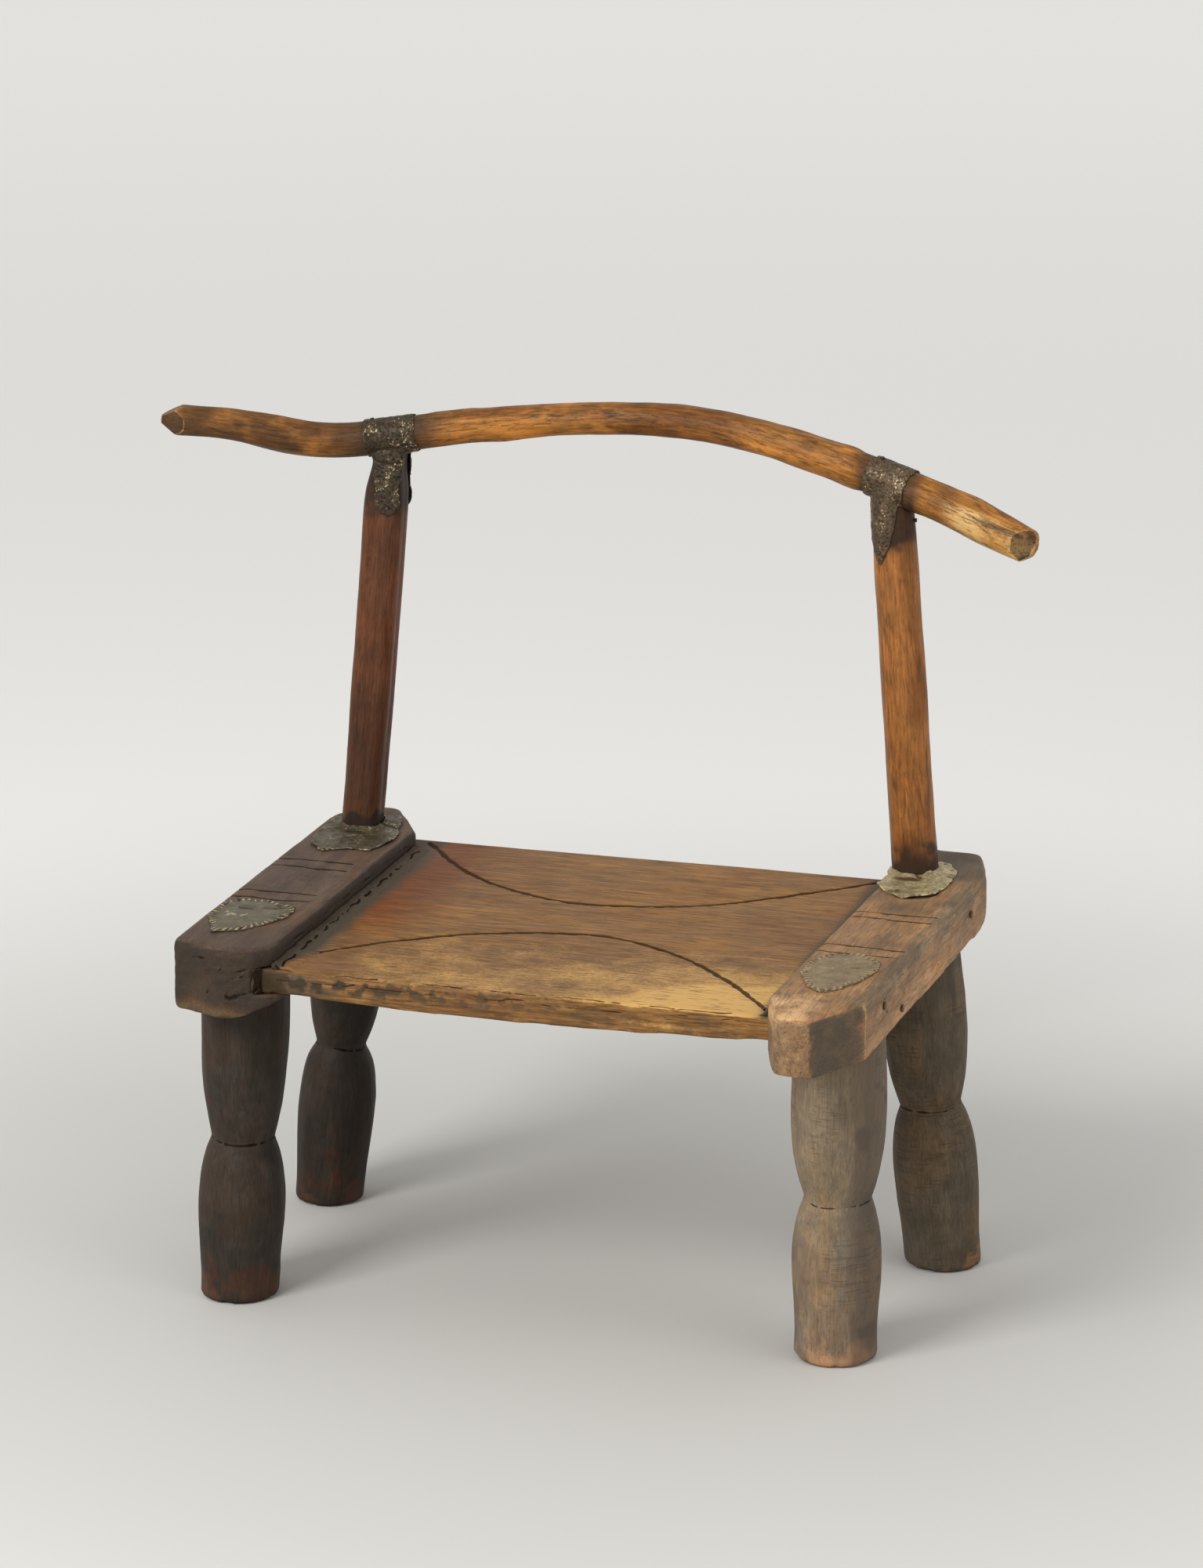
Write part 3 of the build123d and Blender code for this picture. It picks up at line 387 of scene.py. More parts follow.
@dataclass(frozen=True)
class Chance:
    """Seeded noise over points, the same on every run."""

    seed: int

    def _mix(self, cell: Array, salt: int) -> Array:
        """Hash whole-number cells to numbers from 0 to 1.

        Args:
            cell: (n, 3) whole numbers.
            salt: makes several independent results from one cell.

        Returns:
            (n,) numbers.
        """
        c = cell.astype(np.int64)
        h = c[:, 0] * 73856093 ^ c[:, 1] * 19349663 ^ c[:, 2] * 83492791 ^ (self.seed * 2654435761 + salt * 40503)
        h = (h ^ (h >> 13)) * 1274126177 & 0x7FFFFFFF
        h = (h ^ (h >> 15)) * 668265263 & 0x7FFFFFFF
        return ((h ^ (h >> 11)) & 0xFFFFF) / float(0xFFFFF)

    def smooth(self, points: Array, size: float) -> Array:
        """Smooth noise.

        Args:
            points: (n, 3) metres.
            size: how far apart its hills are, in metres.

        Returns:
            (n,) numbers from -1 to 1.
        """
        p = points / size
        base = np.floor(p)
        f = p - base
        f = f * f * f * (f * (f * 6 - 15) + 10)
        total = np.zeros(len(points))
        for corner in product((0, 1), repeat=3):
            share = np.abs(1 - np.array(corner) - f)
            total += share[:, 0] * share[:, 1] * share[:, 2] * self._mix(base + np.array(corner), 0)
        return total * 2 - 1

    def layered(self, points: Array, size: float, layers: int) -> Array:
        """Noise around 0, each layer half the size and strength of the last."""
        parts = (self.smooth(points + 7.3 * step * size, size / 2**step) / 2**step for step in range(layers))
        return sum(parts, np.zeros(len(points)))

    def chips(self, points: Array, size: float) -> tuple[Array, Array]:
        """Cells round scattered points, as a blade or hammer leaves them.

        Args:
            points: (n, 3) metres.
            size: how far apart the cells are.

        Returns:
            Distance to the nearest cell's middle over size, and that cell's own number from 0 to 1.
        """
        p = points / size
        nearest, own = np.full(len(points), FAR_OFF), np.zeros(len(points))
        for step in product((-1, 0, 1), repeat=3):
            cell = np.floor(p) + np.array(step)
            middle = cell + np.stack([self._mix(cell, salt) for salt in (1, 2, 3)], axis=1)
            distance = np.linalg.norm(p - middle, axis=1)
            closer = distance < nearest
            nearest = np.where(closer, distance, nearest)
            own = np.where(closer, self._mix(cell, 4), own)
        return nearest, own


# ---------------------------------------------------------------- worked meshes


@dataclass(frozen=True)
class Line:
    """A carved line or crack: (n, 3) points along its middle, half width and depth, all in metres."""

    SPACING: ClassVar[float] = 1.5 * MM  # of its points
    MARGIN: ClassVar[float] = 6 * MM  # round its box, beyond which distances aren't worked out

    points: Array
    width: float
    depth: float

    @staticmethod
    def through(knots: Sequence[Sequence[float]], width: float, depth: float) -> "Line":
        """A smooth line through a few knots.

        Args:
            knots: (x, y, z) in metres.
            width: half width.
            depth: depth.

        Returns:
            The line.
        """
        k = np.array(knots, float)
        k = np.vstack([2 * k[0] - k[1], k, 2 * k[-1] - k[-2]])
        made = []
        for a, b, c, d in zip(k[:-3], k[1:-2], k[2:-1], k[3:]):
            count = max(2, int(np.linalg.norm(c - b) / Line.SPACING))
            t = np.linspace(0, 1, count, endpoint=False)[:, None]
            curve = 2 * b + (c - a) * t + (2 * a - 5 * b + 4 * c - d) * t**2 + (3 * b - a - 3 * c + d) * t**3
            made.append(0.5 * curve)
        return Line(np.vstack([*made, k[-2][None, :]]), width, depth)

    def distance(self, points: Array) -> Array:
        """How far points are from the line.

        Args:
            points: (n, 3) metres.

        Returns:
            (n,) metres.
        """
        best = np.full(len(points), FAR_OFF)
        low, high = self.points.min(0) - self.MARGIN, self.points.max(0) + self.MARGIN
        close = np.all((points >= low) & (points <= high), axis=1)
        near, p = best[close], points[close]
        for a, b in zip(self.points[:-1], self.points[1:]):
            ab = b - a
            t = held(((p - a) @ ab) / max(ab @ ab, 1e-18))
            near = np.minimum(near, np.linalg.norm(p - a - t[:, None] * ab, axis=1))
        best[close] = near
        return best


def read(items: Any, name: str, width: int = 3, kind: type = float) -> Array:
    """Read a property of all of a mesh's items.

    Args:
        items: the mesh's vertices, edges or the like.
        name: the property.
        width: how many numbers each item has.
        kind: their type.

    Returns:
        (n, width) numbers.
    """
    values = np.zeros(len(items) * width, kind)
    items.foreach_get(name, values)
    return values.reshape(-1, width)


def whole_box() -> tuple[Array, Array]:
    """The box round all CAD nodes together.

    Returns:
        Its lowest and highest corner.
    """
    nodes = [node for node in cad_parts.values() if node.type == "MESH"]
    corners = np.array([tuple(node.matrix_world @ Vector(corner)) for node in nodes for corner in node.bound_box])
    return corners.min(0), corners.max(0)


class Worked:
    """A piece's own mesh: a copy of its CAD node, remeshed finely and worked point by point."""

    SLACK: ClassVar[float] = 0.6 * MM  # past the node's own box
    FIELDS: ClassVar[tuple[str, ...]] = ("wear", "cut", "stain", "raised", "tinge")

    def __init__(self, name: str, node: str, voxel: float, smoothing: int, seed: int) -> None:
        """Copy the node and remesh it.

        Args:
            name: the new piece's name.
            node: the CAD node it stands for.
            voxel: size of the new faces, in metres.
            smoothing: rounds of smoothing after remeshing.
            seed: first seed of its noises.
        """
        self.name, self.node, self.seed = name, node, seed
        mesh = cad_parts[node].data.copy()
        mesh.materials.clear()
        bm = bmesh.new()
        bm.from_mesh(mesh)
        bmesh.ops.remove_doubles(bm, verts=bm.verts, dist=1e-6)
        bm.to_mesh(mesh)
        bm.free()
        for layer in list(mesh.uv_layers):
            mesh.uv_layers.remove(layer)
        self.object = bpy.data.objects.new(name, mesh)
        bpy.context.scene.collection.objects.link(self.object)
        corners = read(mesh.vertices, "co")
        self.low, self.high = corners.min(0) - self.SLACK, corners.max(0) + self.SLACK
        self._remesh(voxel)
        self._read()
        self.start = self.points.copy()
        self.soften(np.ones(len(self.points)), smoothing)
        self.fields: dict[str, Array] = {}

    def _remesh(self, voxel: float) -> None:
        """Replace the mesh by an even one.

        Args:
            voxel: face size in metres.
        """
        modifier = self.object.modifiers.new("even", "REMESH")
        modifier.mode = "VOXEL"
        modifier.voxel_size = voxel
        modifier.adaptivity = 0.0
        made = bpy.data.meshes.new_from_object(self.object.evaluated_get(bpy.context.evaluated_depsgraph_get()))
        self.object.modifiers.clear()
        old, self.object.data = self.object.data, made
        bpy.data.meshes.remove(old)

    def _read(self) -> None:
        """Take the mesh's points and edges into arrays."""
        self.points = read(self.object.data.vertices, "co")
        self.edges = read(self.object.data.edges, "vertices", 2, np.int64)
        self.valence = np.maximum(np.bincount(self.edges.ravel(), minlength=len(self.points)).astype(float), 1)

    def _write(self) -> bpy.types.Mesh:
        """Put the points back into the mesh.

        Returns:
            The mesh.
        """
        mesh = self.object.data
        mesh.vertices.foreach_set("co", self.points.ravel())
        mesh.update()
        return mesh

    def neighbour_mean(self, values: Array) -> Array:
        """Mean of each point's neighbours.

        Args:
            values: (n,) or (n, k) numbers.

        Returns:
            The same shape.
        """
        a, b = self.edges.T
        count = len(values)
        columns = values.reshape(count, -1).T
        sums = [np.bincount(a, column[b], count) + np.bincount(b, column[a], count) for column in columns]
        return (np.array(sums) / self.valence).T.reshape(values.shape)

    def normals(self) -> Array:
        """Outward direction at each point."""
        return read(self._write().vertex_normals, "vector")

    def push(self, amount: Array) -> None:
        """Move the points out along their normals by amount, in metres."""
        self.points += self.normals() * amount[:, None]

    def noise(
        self, salt: int, size: float, layers: int, stretch: Triple = (1, 1, 1), at: Optional[Array] = None
    ) -> Array:
        """Layered noise of the piece's own.

        Args:
            salt: added to the piece's seed.
            size: size of the broadest layer, in metres.
            layers: how many, each half the size and strength of the last.
            stretch: factor on each axis, below 1 where the noise is drawn out.
            at: (n, 3) places to read it at instead of the piece's points.

        Returns:
            (n,) numbers around 0.
        """
        places = self.points if at is None else at
        return Chance(self.seed + salt).layered(places * np.array(stretch), size, layers)

    def soften(self, where: Array, rounds: int) -> None:
        """Round the arrises off, most where the shares are 1."""
        for _ in range(rounds):
            self.points += 0.5 * where[:, None] * (self.neighbour_mean(self.points) - self.points)

    def convexity(self, rounds: int) -> Array:
        """How far each point stands out from its smoothed surroundings.

        Args:
            rounds: how far the surroundings reach, in rounds of averaging.

        Returns:
            Metres, positive on edges that stand out.
        """
        calm = self.points.copy()
        for _ in range(rounds):
            calm = 0.5 * calm + 0.5 * self.neighbour_mean(calm)
        return ((self.points - calm) * self.normals()).sum(1)

    def edge_wear(self, salt: int, rounds: int, full: float) -> Array:
        """Where hands and feet have worn the arrises, fully where they stand out by full metres."""
        return held(held(self.convexity(rounds) / full) * (0.8 + 0.5 * self.noise(salt, 0.012, 3)))

    def tool_marks(self, salt: int, size: float, depth: float, keep: Array) -> None:
        """Shallow hollows left by an adze or knife.

        Args:
            salt: added to the piece's seed.
            size: how broad the marks are, in metres.
            depth: how deep, in metres.
            keep: (n,) factors, 0 where the surface stays as it is.
        """
        sway = 0.3 * size * self.noise(salt, size, 1)
        distance, own = Chance(self.seed + salt).chips(self.points + sway[:, None], size)
        self.push(-depth * (1 - held(distance) ** 2) * (0.45 + 0.55 * own) * keep)

    def settle(self, lines: Sequence[Line]) -> list[Line]:
        """Move lines onto the surface.

        Args:
            lines: lines near the surface.

        Returns:
            The same lines, each point at the nearest place of the mesh.
        """
        tree = KDTree(len(self.points))
        for index, point in enumerate(self.points):
            tree.insert(point, index)
        tree.balance()
        settled = []
        for line in lines:
            offset = np.array([np.array(tree.find(point)[0]) - point for point in line.points])
            for _ in range(4):
                offset[1:-1] = 0.5 * offset[1:-1] + 0.25 * (offset[:-2] + offset[2:])
            settled.append(replace(line, points=line.points + offset))
        return settled

    def refine(self, lines: Sequence[Line], reach: float, rounds: int) -> None:
        """Divide the faces beside some lines.

        Args:
            lines: the lines.
            reach: how far from them, in metres.
            rounds: how often each edge is halved.
        """
        self._write()
        for step in range(rounds):
            near = np.zeros(len(self.points), bool)
            for line in lines:
                near |= line.distance(self.points) < reach / (1 + 0.5 * step)
            bm = bmesh.new()
            bm.from_mesh(self.object.data)
            edges = [edge for edge in bm.edges if all(near[vertex.index] for vertex in edge.verts)]
            bmesh.ops.subdivide_edges(bm, edges=edges, cuts=1, use_grid_fill=True)
            bm.to_mesh(self.object.data)
            bm.free()
            self._read()

    def carve(self, lines: Sequence[Line], salt: int, raggedness: float) -> None:
        """Sink lines into the surface and mark them as cut.

        Args:
            lines: the lines, already refined round.
            salt: added to the piece's seed.
            raggedness: share by which width and depth vary.
        """
        deepest, marked = np.zeros(len(self.points)), np.zeros(len(self.points))
        vary = 1 + self.noise(salt, 0.006, 2) * raggedness
        for line in lines:
            shares = line.distance(self.points) / (line.width * vary)
            deepest = np.maximum(deepest, np.exp(-(shares**2)) * line.depth * vary)
            marked = np.maximum(marked, np.exp(-((shares / 1.25) ** 4)))
        self.push(-deepest)
        self.fields["cut"] = marked

    def finish(self, finish: Union[WoodFinish, SheetFinish], slot: str, grain: Array, **fields: Array) -> None:
        """Write everything and hand the piece to the frame.

        Args:
            finish: its wood or metal.
            slot: not used.
            grain: (n, 3) coordinates along and across its grain, in metres.
            fields: further numbers stored on the points.
        """
        self.points = np.clip(np.clip(self.points, self.low, self.high), *whole_box())
        mesh = self._write()
        nothing = np.zeros(len(self.points))
        for name in self.FIELDS:
            values = fields.get(name, self.fields.get(name, nothing))
            mesh.attributes.new(name, "FLOAT", "POINT").data.foreach_set("value", values.astype(np.float32))
        layer = mesh.attributes.new("grain", "FLOAT_VECTOR", "POINT")
        layer.data.foreach_set("vector", grain.astype(np.float32).ravel())
        mesh.polygons.foreach_set("use_smooth", np.ones(len(mesh.polygons), bool))
        mesh.materials.clear()
        mesh.materials.append(finish.make())
        mesh.update()
        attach(self.object, "root")
        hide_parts(self.node)
        log.info("%s: %d points, stands for %s", self.name, len(self.points), self.node)


# ---------------------------------------------------------------- places on the chair


@dataclass(frozen=True)
class Ground:
    """Level coordinates of a turned piece, in metres."""

    x: float
    y: float
    z: float
    turn: float  # degrees, counter-clockwise seen from above
    half: float  # half its width across

    def local(self, points: Array) -> Array:
        """Places seen from here.

        Args:
            points: (n, 3) metres.

        Returns:
            (3, n) metres: a row across, one along and one up.
        """
        c, s = math.cos(math.radians(self.turn)), math.sin(math.radians(self.turn))
        x, y, z = (points - np.array([self.x, self.y, self.z])).T
        return np.stack([x * c + y * s, y * c - x * s, z])

    def world(self, across: float, along: float, up: float = 0.0, unit: float = MM) -> Triple:
        """A place given from here.

        Args:
            across: in units.
            along: in units.
            up: in units.
            unit: in metres.

        Returns:
            (x, y, z) in metres.
        """
        c, s = math.cos(math.radians(self.turn)), math.sin(math.radians(self.turn))
        a, b = across * unit, along * unit
        return (self.x + a * c - b * s, self.y + a * s + b * c, self.z + up * unit)


LEFT = Ground(-172.15 * MM, 0.0, RAIL_TOP, 1.0, 36 * MM)
RIGHT = Ground(235.15 * MM, 0.0, RAIL_TOP, -0.7, 32 * MM)
PLANK = Ground(31.5 * MM, -1.6 * MM, 0.0, 1.0, 169.65 * MM)


@dataclass(frozen=True)
class Shaft:
    """A straight line from a foot to a head, in metres."""

    foot: Triple
    head: Triple

    def axes(self) -> tuple[Array, Array, Array]:
        """Directions along the line and twice across it.

        Returns:
            Three unit vectors.
        """
        up = np.array(self.head) - np.array(self.foot)
        up = up / np.linalg.norm(up)
        across = np.array([1.0, 0, 0]) - up * up[0]
        across /= np.linalg.norm(across)
        return up, across, np.cross(up, across)

    def local(self, points: Array) -> Array:
        """Height along the line and the two coordinates across it, a row each."""
        return np.stack(self.axes()) @ (points - np.array(self.foot)).T


def moved(place: Triple, *by: float) -> Triple:
    """A place moved by some millimetres along x, y and z."""
    return tuple(np.array(place) + np.array(by) * MM)


def off_middle(angle: Array, flats: int) -> Array:
    """Angle from the middle of the nearest of some flats pared round a pole, in radians."""
    return angle % (2 * math.pi / flats) - math.pi / flats


# ---------------------------------------------------------------- seat


@dataclass
class Seat:
    """The adzed plank with its two incised curves."""

    half_depth: float = 159.5 * MM
    seed: int = 10
    voxel: float = 2.0 * MM
    curve_width: float = 1.6 * MM
    curve_depth: float = 1.4 * MM
    split_depth: float = 0.8 * MM
    waviness: float = 0.22 * MM  # of the top
    adze_depth: float = 1.1 * MM  # of the marks below
    pit_depth: float = 0.9 * MM
    chip_depth: float = 1.8 * MM  # along the front arris
    # Knots of the back and the front curve, in shares of half the span and half the depth.
    curves: tuple[tuple[tuple[float, float], ...], ...] = (
        ((-0.97, 0.95), (-0.63, 0.52), (-0.24, 0.29), (0.10, 0.29), (0.41, 0.42), (0.74, 0.71), (0.97, 0.95)),
        ((-0.97, -0.79), (-0.62, -0.43), (-0.26, -0.22), (0.10, -0.15), (0.42, -0.29), (0.72, -0.58), (0.97, -0.92)),
    )
    # Splits along the front arris: start, end and inset in shares, then rise and half width in millimetres.
    splits: tuple[tuple[float, float, float, float, float], ...] = (
        (-0.96, -0.40, 1.0, -5.5, 0.34), (-0.36, 0.06, 1.0, -5.0, 0.30), (0.10, 0.52, 1.0, -6.0, 0.34),
        (0.58, 0.95, 1.0, -5.0, 0.30), (-0.80, -0.56, 0.982, 0.0, 0.5), (-0.36, -0.22, 0.984, 0.0, 0.6),
        (-0.10, 0.08, 0.986, 0.0, 0.45), (0.16, 0.40, 0.980, 0.0, 0.5), (0.50, 0.84, 0.984, 0.0, 0.5),
    )
    # Dark blots on the front face: x and z in millimetres.
    blots: tuple[tuple[float, float], ...] = (
        (-128, 244), (-114, 242), (-101, 240), (-81, 244), (-73, 241), (-56, 242), (-49, 243), (-33, 242),
        (-17, 241), (-3, 241), (11, 242), (29, 242), (36, 240), (58, 241), (79, 240), (110, 240),
    )
    finish: WoodFinish = WoodFinish(
        name="seat_wood", mid=(0.204, 0.102, 0.036), bare=(0.60, 0.355, 0.112), stain=(0.066, 0.050, 0.034),
        cool=(0.84, 0.80, 0.84), warm=(1.12, 1.05, 0.80), tinge=(0.72, 0.47, 0.38), width=2.3 * MM, length=34 * MM,
        fibres=1.55, bands=0.42, swell=0.26, blotch=11.0, blotches=0.50, pores=0.66, sheen=0.10, shift=0.31,
    )

    def place(self, across: float, along: float, height: float = SEAT_TOP) -> Triple:
        """A place given in shares of half the span and half the depth, its height in metres."""
        return PLANK.world(across * PLANK.half, along * self.half_depth, height, 1.0)

    def lines(self) -> list[Line]:
        """The two curves and the splits along the front arris.

        Returns:
            The lines.
        """
        made = [
            Line.through([self.place(*knot) for knot in curve], self.curve_width, self.curve_depth)
            for curve in self.curves
        ]
        for start, end, inset, rise, width in self.splits:
            knots = []
            for step, across in between(start, end, 7):
                wander = 0.6 * math.sin(19.0 * across + 3 * step)
                along = -inset + (0.0 if rise else 0.004 * wander)
                knots.append(self.place(across, along, SEAT_TOP + (rise + wander) * MM))
            made.append(Line.through(knots, width * MM, self.split_depth))
        return made

    def film(self, points: Array) -> tuple[Array, Array]:
        """Pitch and grime that have crept out from the seams.

        Args:
            points: (n, 3) metres.

        Returns:
            How dark, and how reddened, from 0 to 1.
        """
        across, along, _ = PLANK.local(points)
        back = along / self.half_depth
        grime = Chance(self.seed + 7).layered(points * np.array([1, 1, 0]), 0.032, 3)
        taper = step_up(along + 0.012 * grime, -0.158, -0.110)
        reach = 0.004 + (0.0145 + 0.002 * back) * taper + 0.0030 * grime
        left = 1 - step_up(PLANK.half + across, reach - 0.004, reach + 0.006)
        right = 1 - step_up(PLANK.half - across + 0.002 * grime, 0.005, 0.013 + 0.004 * held(back))
        red = 0.85 * (1 - step_up(PLANK.half + across + 0.012 * grime, 0.028, 0.095))
        red = red * (0.25 + 0.75 * step_up(along, -0.11, 0.0)) + 0.30 * step_up(grime, 0.1, 0.9)
        return np.maximum(left, right), held(red)

    def build(self) -> None:
        """Make and dress the plank."""
        plank = Worked("seat", "seat_plank", self.voxel, 1, self.seed)
        lines = plank.settle(self.lines())
        plank.refine(lines, 3.8 * MM, 2)
        across, along, height = PLANK.local(plank.points)
        _, north, up = plank.normals().T
        top, under = step_up(up, 0.3, 0.8), step_up(-up, 0.3, 0.8)
        front, back = step_up(-north, 0.4, 0.8), step_up(north, 0.4, 0.8)
        inside = 1 - step_up(np.abs(across), PLANK.half - 2 * MM, PLANK.half)
        plank.push(top * self.waviness * plank.noise(1, 0.022, 3, (0.28, 1, 1)))
        plank.tool_marks(2, 0.028, self.adze_depth, under * inside)
        plank.push(-(front + back) * inside * self.pit_depth * np.abs(plank.noise(3, 0.008, 3, (0.5, 1, 1))))
        low = self.half_depth - 5 * MM
        arris = step_up(-along, low, low + 4 * MM) * step_up(height, 0.2455, 0.2485)
        plank.push(-arris * inside * step_up(plank.noise(4, 0.010, 3), 0.15, 0.9) * self.chip_depth)
        plank.carve(lines, 5, 0.45)
        golden = step_up(-along, -0.035, 0.115) * (0.74 + 0.26 * step_up(across, -0.02, 0.10))
        golden *= 1 - step_up(-across, 0.10, 0.16)
        # A painted highlight: a band along the top of the front arris that lightens the golden front a little.
        arris = np.exp(-(((along + self.half_depth - 6 * MM) / (9 * MM)) ** 2))
        # A pool of painted sunlight on the front right corner of the top, drawn in the bare colour like wear.
        painted_sunlight = step_up(across - 0.6 * along, 0.090, 0.205) * step_up(-along, 0.060, 0.130)
        wear = most(
            plank.edge_wear(6, 8, 0.0010) * inside * 0.6,
            front * (0.36 + 0.30 * plank.noise(9, 0.007, 4, (0.3, 1, 1.8))),
            top * golden * (0.70 + 0.10 * arris),
            top * inside * painted_sunlight * 1.25,
        )
        dark, red = self.film(plank.points)
        spots = plank.noise(8, 0.0095, 4, (0.9, 1, 1.2))
        ragged = plank.noise(10, 0.0045, 3, (0.8, 1, 1.1))
        blots = 0.35 * step_up(spots, 0.1, 0.7)
        for number, (x, z) in enumerate(self.blots):
            reach = np.hypot((plank.points[:, 0] / MM - x) / 6.0, (plank.points[:, 2] / MM - z) / 3.1)
            blots = np.maximum(blots, (1 - step_up(reach + 0.95 * ragged, 0.80, 1.15)) * (1 - 0.035 * number))
        left = 0.55 * (1 - step_up(across, -0.150, -0.100))
        end = front * (0.95 + 0.3 * spots) * (1 - step_up(across + 0.009 * spots, -0.159, -0.146))
        plank.fields["cut"] = most(plank.fields["cut"], front * inside * 0.46 * blots, 0.50 * end)
        stain = top * dark * 0.9 + front * inside * held(0.9 * blots + left) + under * 0.25
        plank.finish(
            self.finish,
            "seat_wood",
            np.stack([along, height, across], axis=1),
            wear=wear,
            stain=held(np.maximum(stain, end)),
            tinge=red * (1 - 0.8 * golden),
        )


# ---------------------------------------------------------------- end rails


@dataclass
class Rail:
    """An end rail: adzed faces, worn arrises, carved cross lines and drying cracks."""

    NAME: ClassVar[str]
    PLACE: ClassVar[Ground]
    CARVED: ClassVar[tuple[Triple, ...]]  # place along, from, to: millimetres
    SEED: ClassVar[int]
    FINISH: ClassVar[WoodFinish]
    voxel: float = 1.7 * MM
    carved_width: float = 1.05 * MM
    carved_depth: float = 1.0 * MM
    adze_depth: float = 0.9 * MM
    pit_depth: float = 1.0 * MM  # in the front end
    waviness: float = 0.3 * MM

    def cracks(self) -> list[Line]:
        """Drying cracks."""
        raise NotImplementedError

    def paint(self, rail: Worked) -> dict[str, Array]:
        """Wear, dirt and any painted highlight of the worked mesh, by name."""
        raise NotImplementedError

    def lines(self) -> list[Line]:
        """Carved lines and cracks.

        Returns:
            The lines.
        """
        made = []
        for along, start, end in self.CARVED:
            steps = between(start, end, 4)
            knots = [self.PLACE.world(across, along + 0.5 * math.sin(2.1 * t + along)) for t, across in steps]
            made.append(Line.through(knots, self.carved_width, self.carved_depth))
        return made + self.cracks()

    def build(self) -> None:
        """Make and dress the rail."""
        rail = Worked(self.NAME, self.NAME, self.voxel, 2, self.SEED)
        across, along, _ = self.PLACE.local(rail.points)
        outer = across * (1 if self.PLACE.x > 0 else -1)
        ends = np.maximum(step_up(along, 0.135, 0.155), 0.5 * (1 - step_up(along, -0.170, -0.150)))
        rail.soften(np.maximum(ends * step_up(outer, -0.022, -0.012), 0.28 * step_up(outer, 0.008, 0.020)), 26)
        lines = rail.settle(self.lines())
        rail.refine(lines, 3.4 * MM, 1)
        rail.refine(lines, 2.4 * MM, 1)
        _, north, up = rail.normals().T
        top, front = step_up(up, 0.5, 0.9), step_up(-north, 0.35, 0.8)
        rail.tool_marks(0, 0.026, self.adze_depth, 1 - top)
        rail.push(top * self.waviness * rail.noise(6, 0.03, 3))
        rail.push(-front * self.pit_depth * np.abs(rail.noise(1, 0.007, 3)))
        rail.push(-(1 - top) * self.waviness * np.abs(rail.noise(2, 0.006, 2, (1, 0.2, 1))))
        rail.carve(lines, 3, 0.5)
        across, along, height = self.PLACE.local(rail.points)
        grain = np.stack([across, height, along], axis=1)
        rail.finish(self.FINISH, f"{self.NAME}_wood", grain, **self.paint(rail))


@dataclass
class LeftRail(Rail):
    """The heavy dark rail at the left."""

    NAME = "left_rail"
    PLACE = LEFT
    CARVED = ((36, -36.5, 20), (19, -36.5, 22), (-40, -36.5, 22), (-56, -36.5, 22))
    SEED = 31
    FINISH = WoodFinish(
        name="left_rail_wood", mid=(0.092, 0.058, 0.038), bare=(0.138, 0.092, 0.040), stain=(0.034, 0.026, 0.019),
        cool=(0.84, 0.82, 0.92), warm=(1.20, 1.0, 0.84), tinge=(0.86, 0.74, 0.60), length=24 * MM, fibres=0.7,
        polish=0.54, relief=0.00035, shift=1.9,
    )
    front: float = -173.8 * MM  # y of its front end
    # Cracks in the front end: half width and depth, then (x, z) places, all in millimetres.
    end_cracks: tuple[tuple[float, float, tuple[tuple[float, float], ...]], ...] = (
        (1.1, 2.2, ((-144.0, 234.6), (-147.5, 233.8), (-151.6, 231.8), (-159.3, 229.1), (-161.4, 231.1))),
        (0.75, 1.5, ((-191.8, 253.3), (-181.3, 254.8), (-171.6, 254.7), (-164.8, 252.2), (-166.6, 245.0))),
        (0.75, 1.5, ((-161.4, 231.1), (-159.2, 235.1), (-160.0, 240.0), (-156.0, 244.0))),
        (0.75, 1.5, ((-178.5, 232.0), (-179.0, 228.0), (-177.0, 225.2))),
        (0.75, 1.5, ((-154.0, 247.9), (-150.0, 249.2), (-147.4, 249.6))),
        (0.75, 1.5, ((-151.3, 243.9), (-146.5, 245.8), (-142.0, 246.4))),
    )
    # Broken seam along the seat: places along, in millimetres.
    seam: tuple[tuple[float, ...], ...] = (
        (112, 104, 96), (92, 84, 74), (66, 58), (44, 30, 18), (2, -10, -22), (-44, -52, -60), (-84, -96, -112, -126),
    )

    def cracks(self) -> list[Line]:
        """Cracks in the front end and the broken seam along the seat.

        Returns:
            The lines.
        """
        made = []
        for width, depth, places in self.end_cracks:
            made.append(Line.through([(x * MM, self.front, z * MM) for x, z in places], width * MM, depth * MM))
        inner = self.PLACE.half / MM + 0.2
        for places in self.seam:
            knots = [self.PLACE.world(inner, along, -7.6 + 0.5 * math.sin(along * 0.21)) for along in places]
            made.append(Line.through(knots, 0.5 * MM, 1.0 * MM))
        return made

    def paint(self, rail: Worked) -> dict[str, Array]:
        """Dark ends and inner side, a golden underside edge.

        Args:
            rail: the worked mesh.

        Returns:
            The fields by name.
        """
        east, north, up = rail.normals().T
        grime = rail.noise(5, 0.026, 4)
        front = step_up(-north, 0.3, 0.8) * (1 - step_up(up, 0.4, 0.8))
        inner, under = step_up(east, 0.5, 0.9), step_up(-up, 0.5, 0.9)
        low = 1 - step_up(self.PLACE.local(rail.points)[2] + 0.004 * grime, -0.046, -0.036)
        knocks = step_up(rail.noise(7, 0.009, 3), 0.35, 1.0)
        edge = rail.edge_wear(4, 12, 0.0016)
        sooty = front * (1 - low) * (0.88 + 0.35 * grime)
        return painted(
            wear=most(edge * 0.8, front * low * (0.85 + 0.4 * grime), knocks * front * 0.55),
            stain=most(sooty, inner * 0.85, under * 0.5, 0.35 * step_up(grime, 0.3, 1.0)),
            tinge=front + 0.3 * inner,
        )


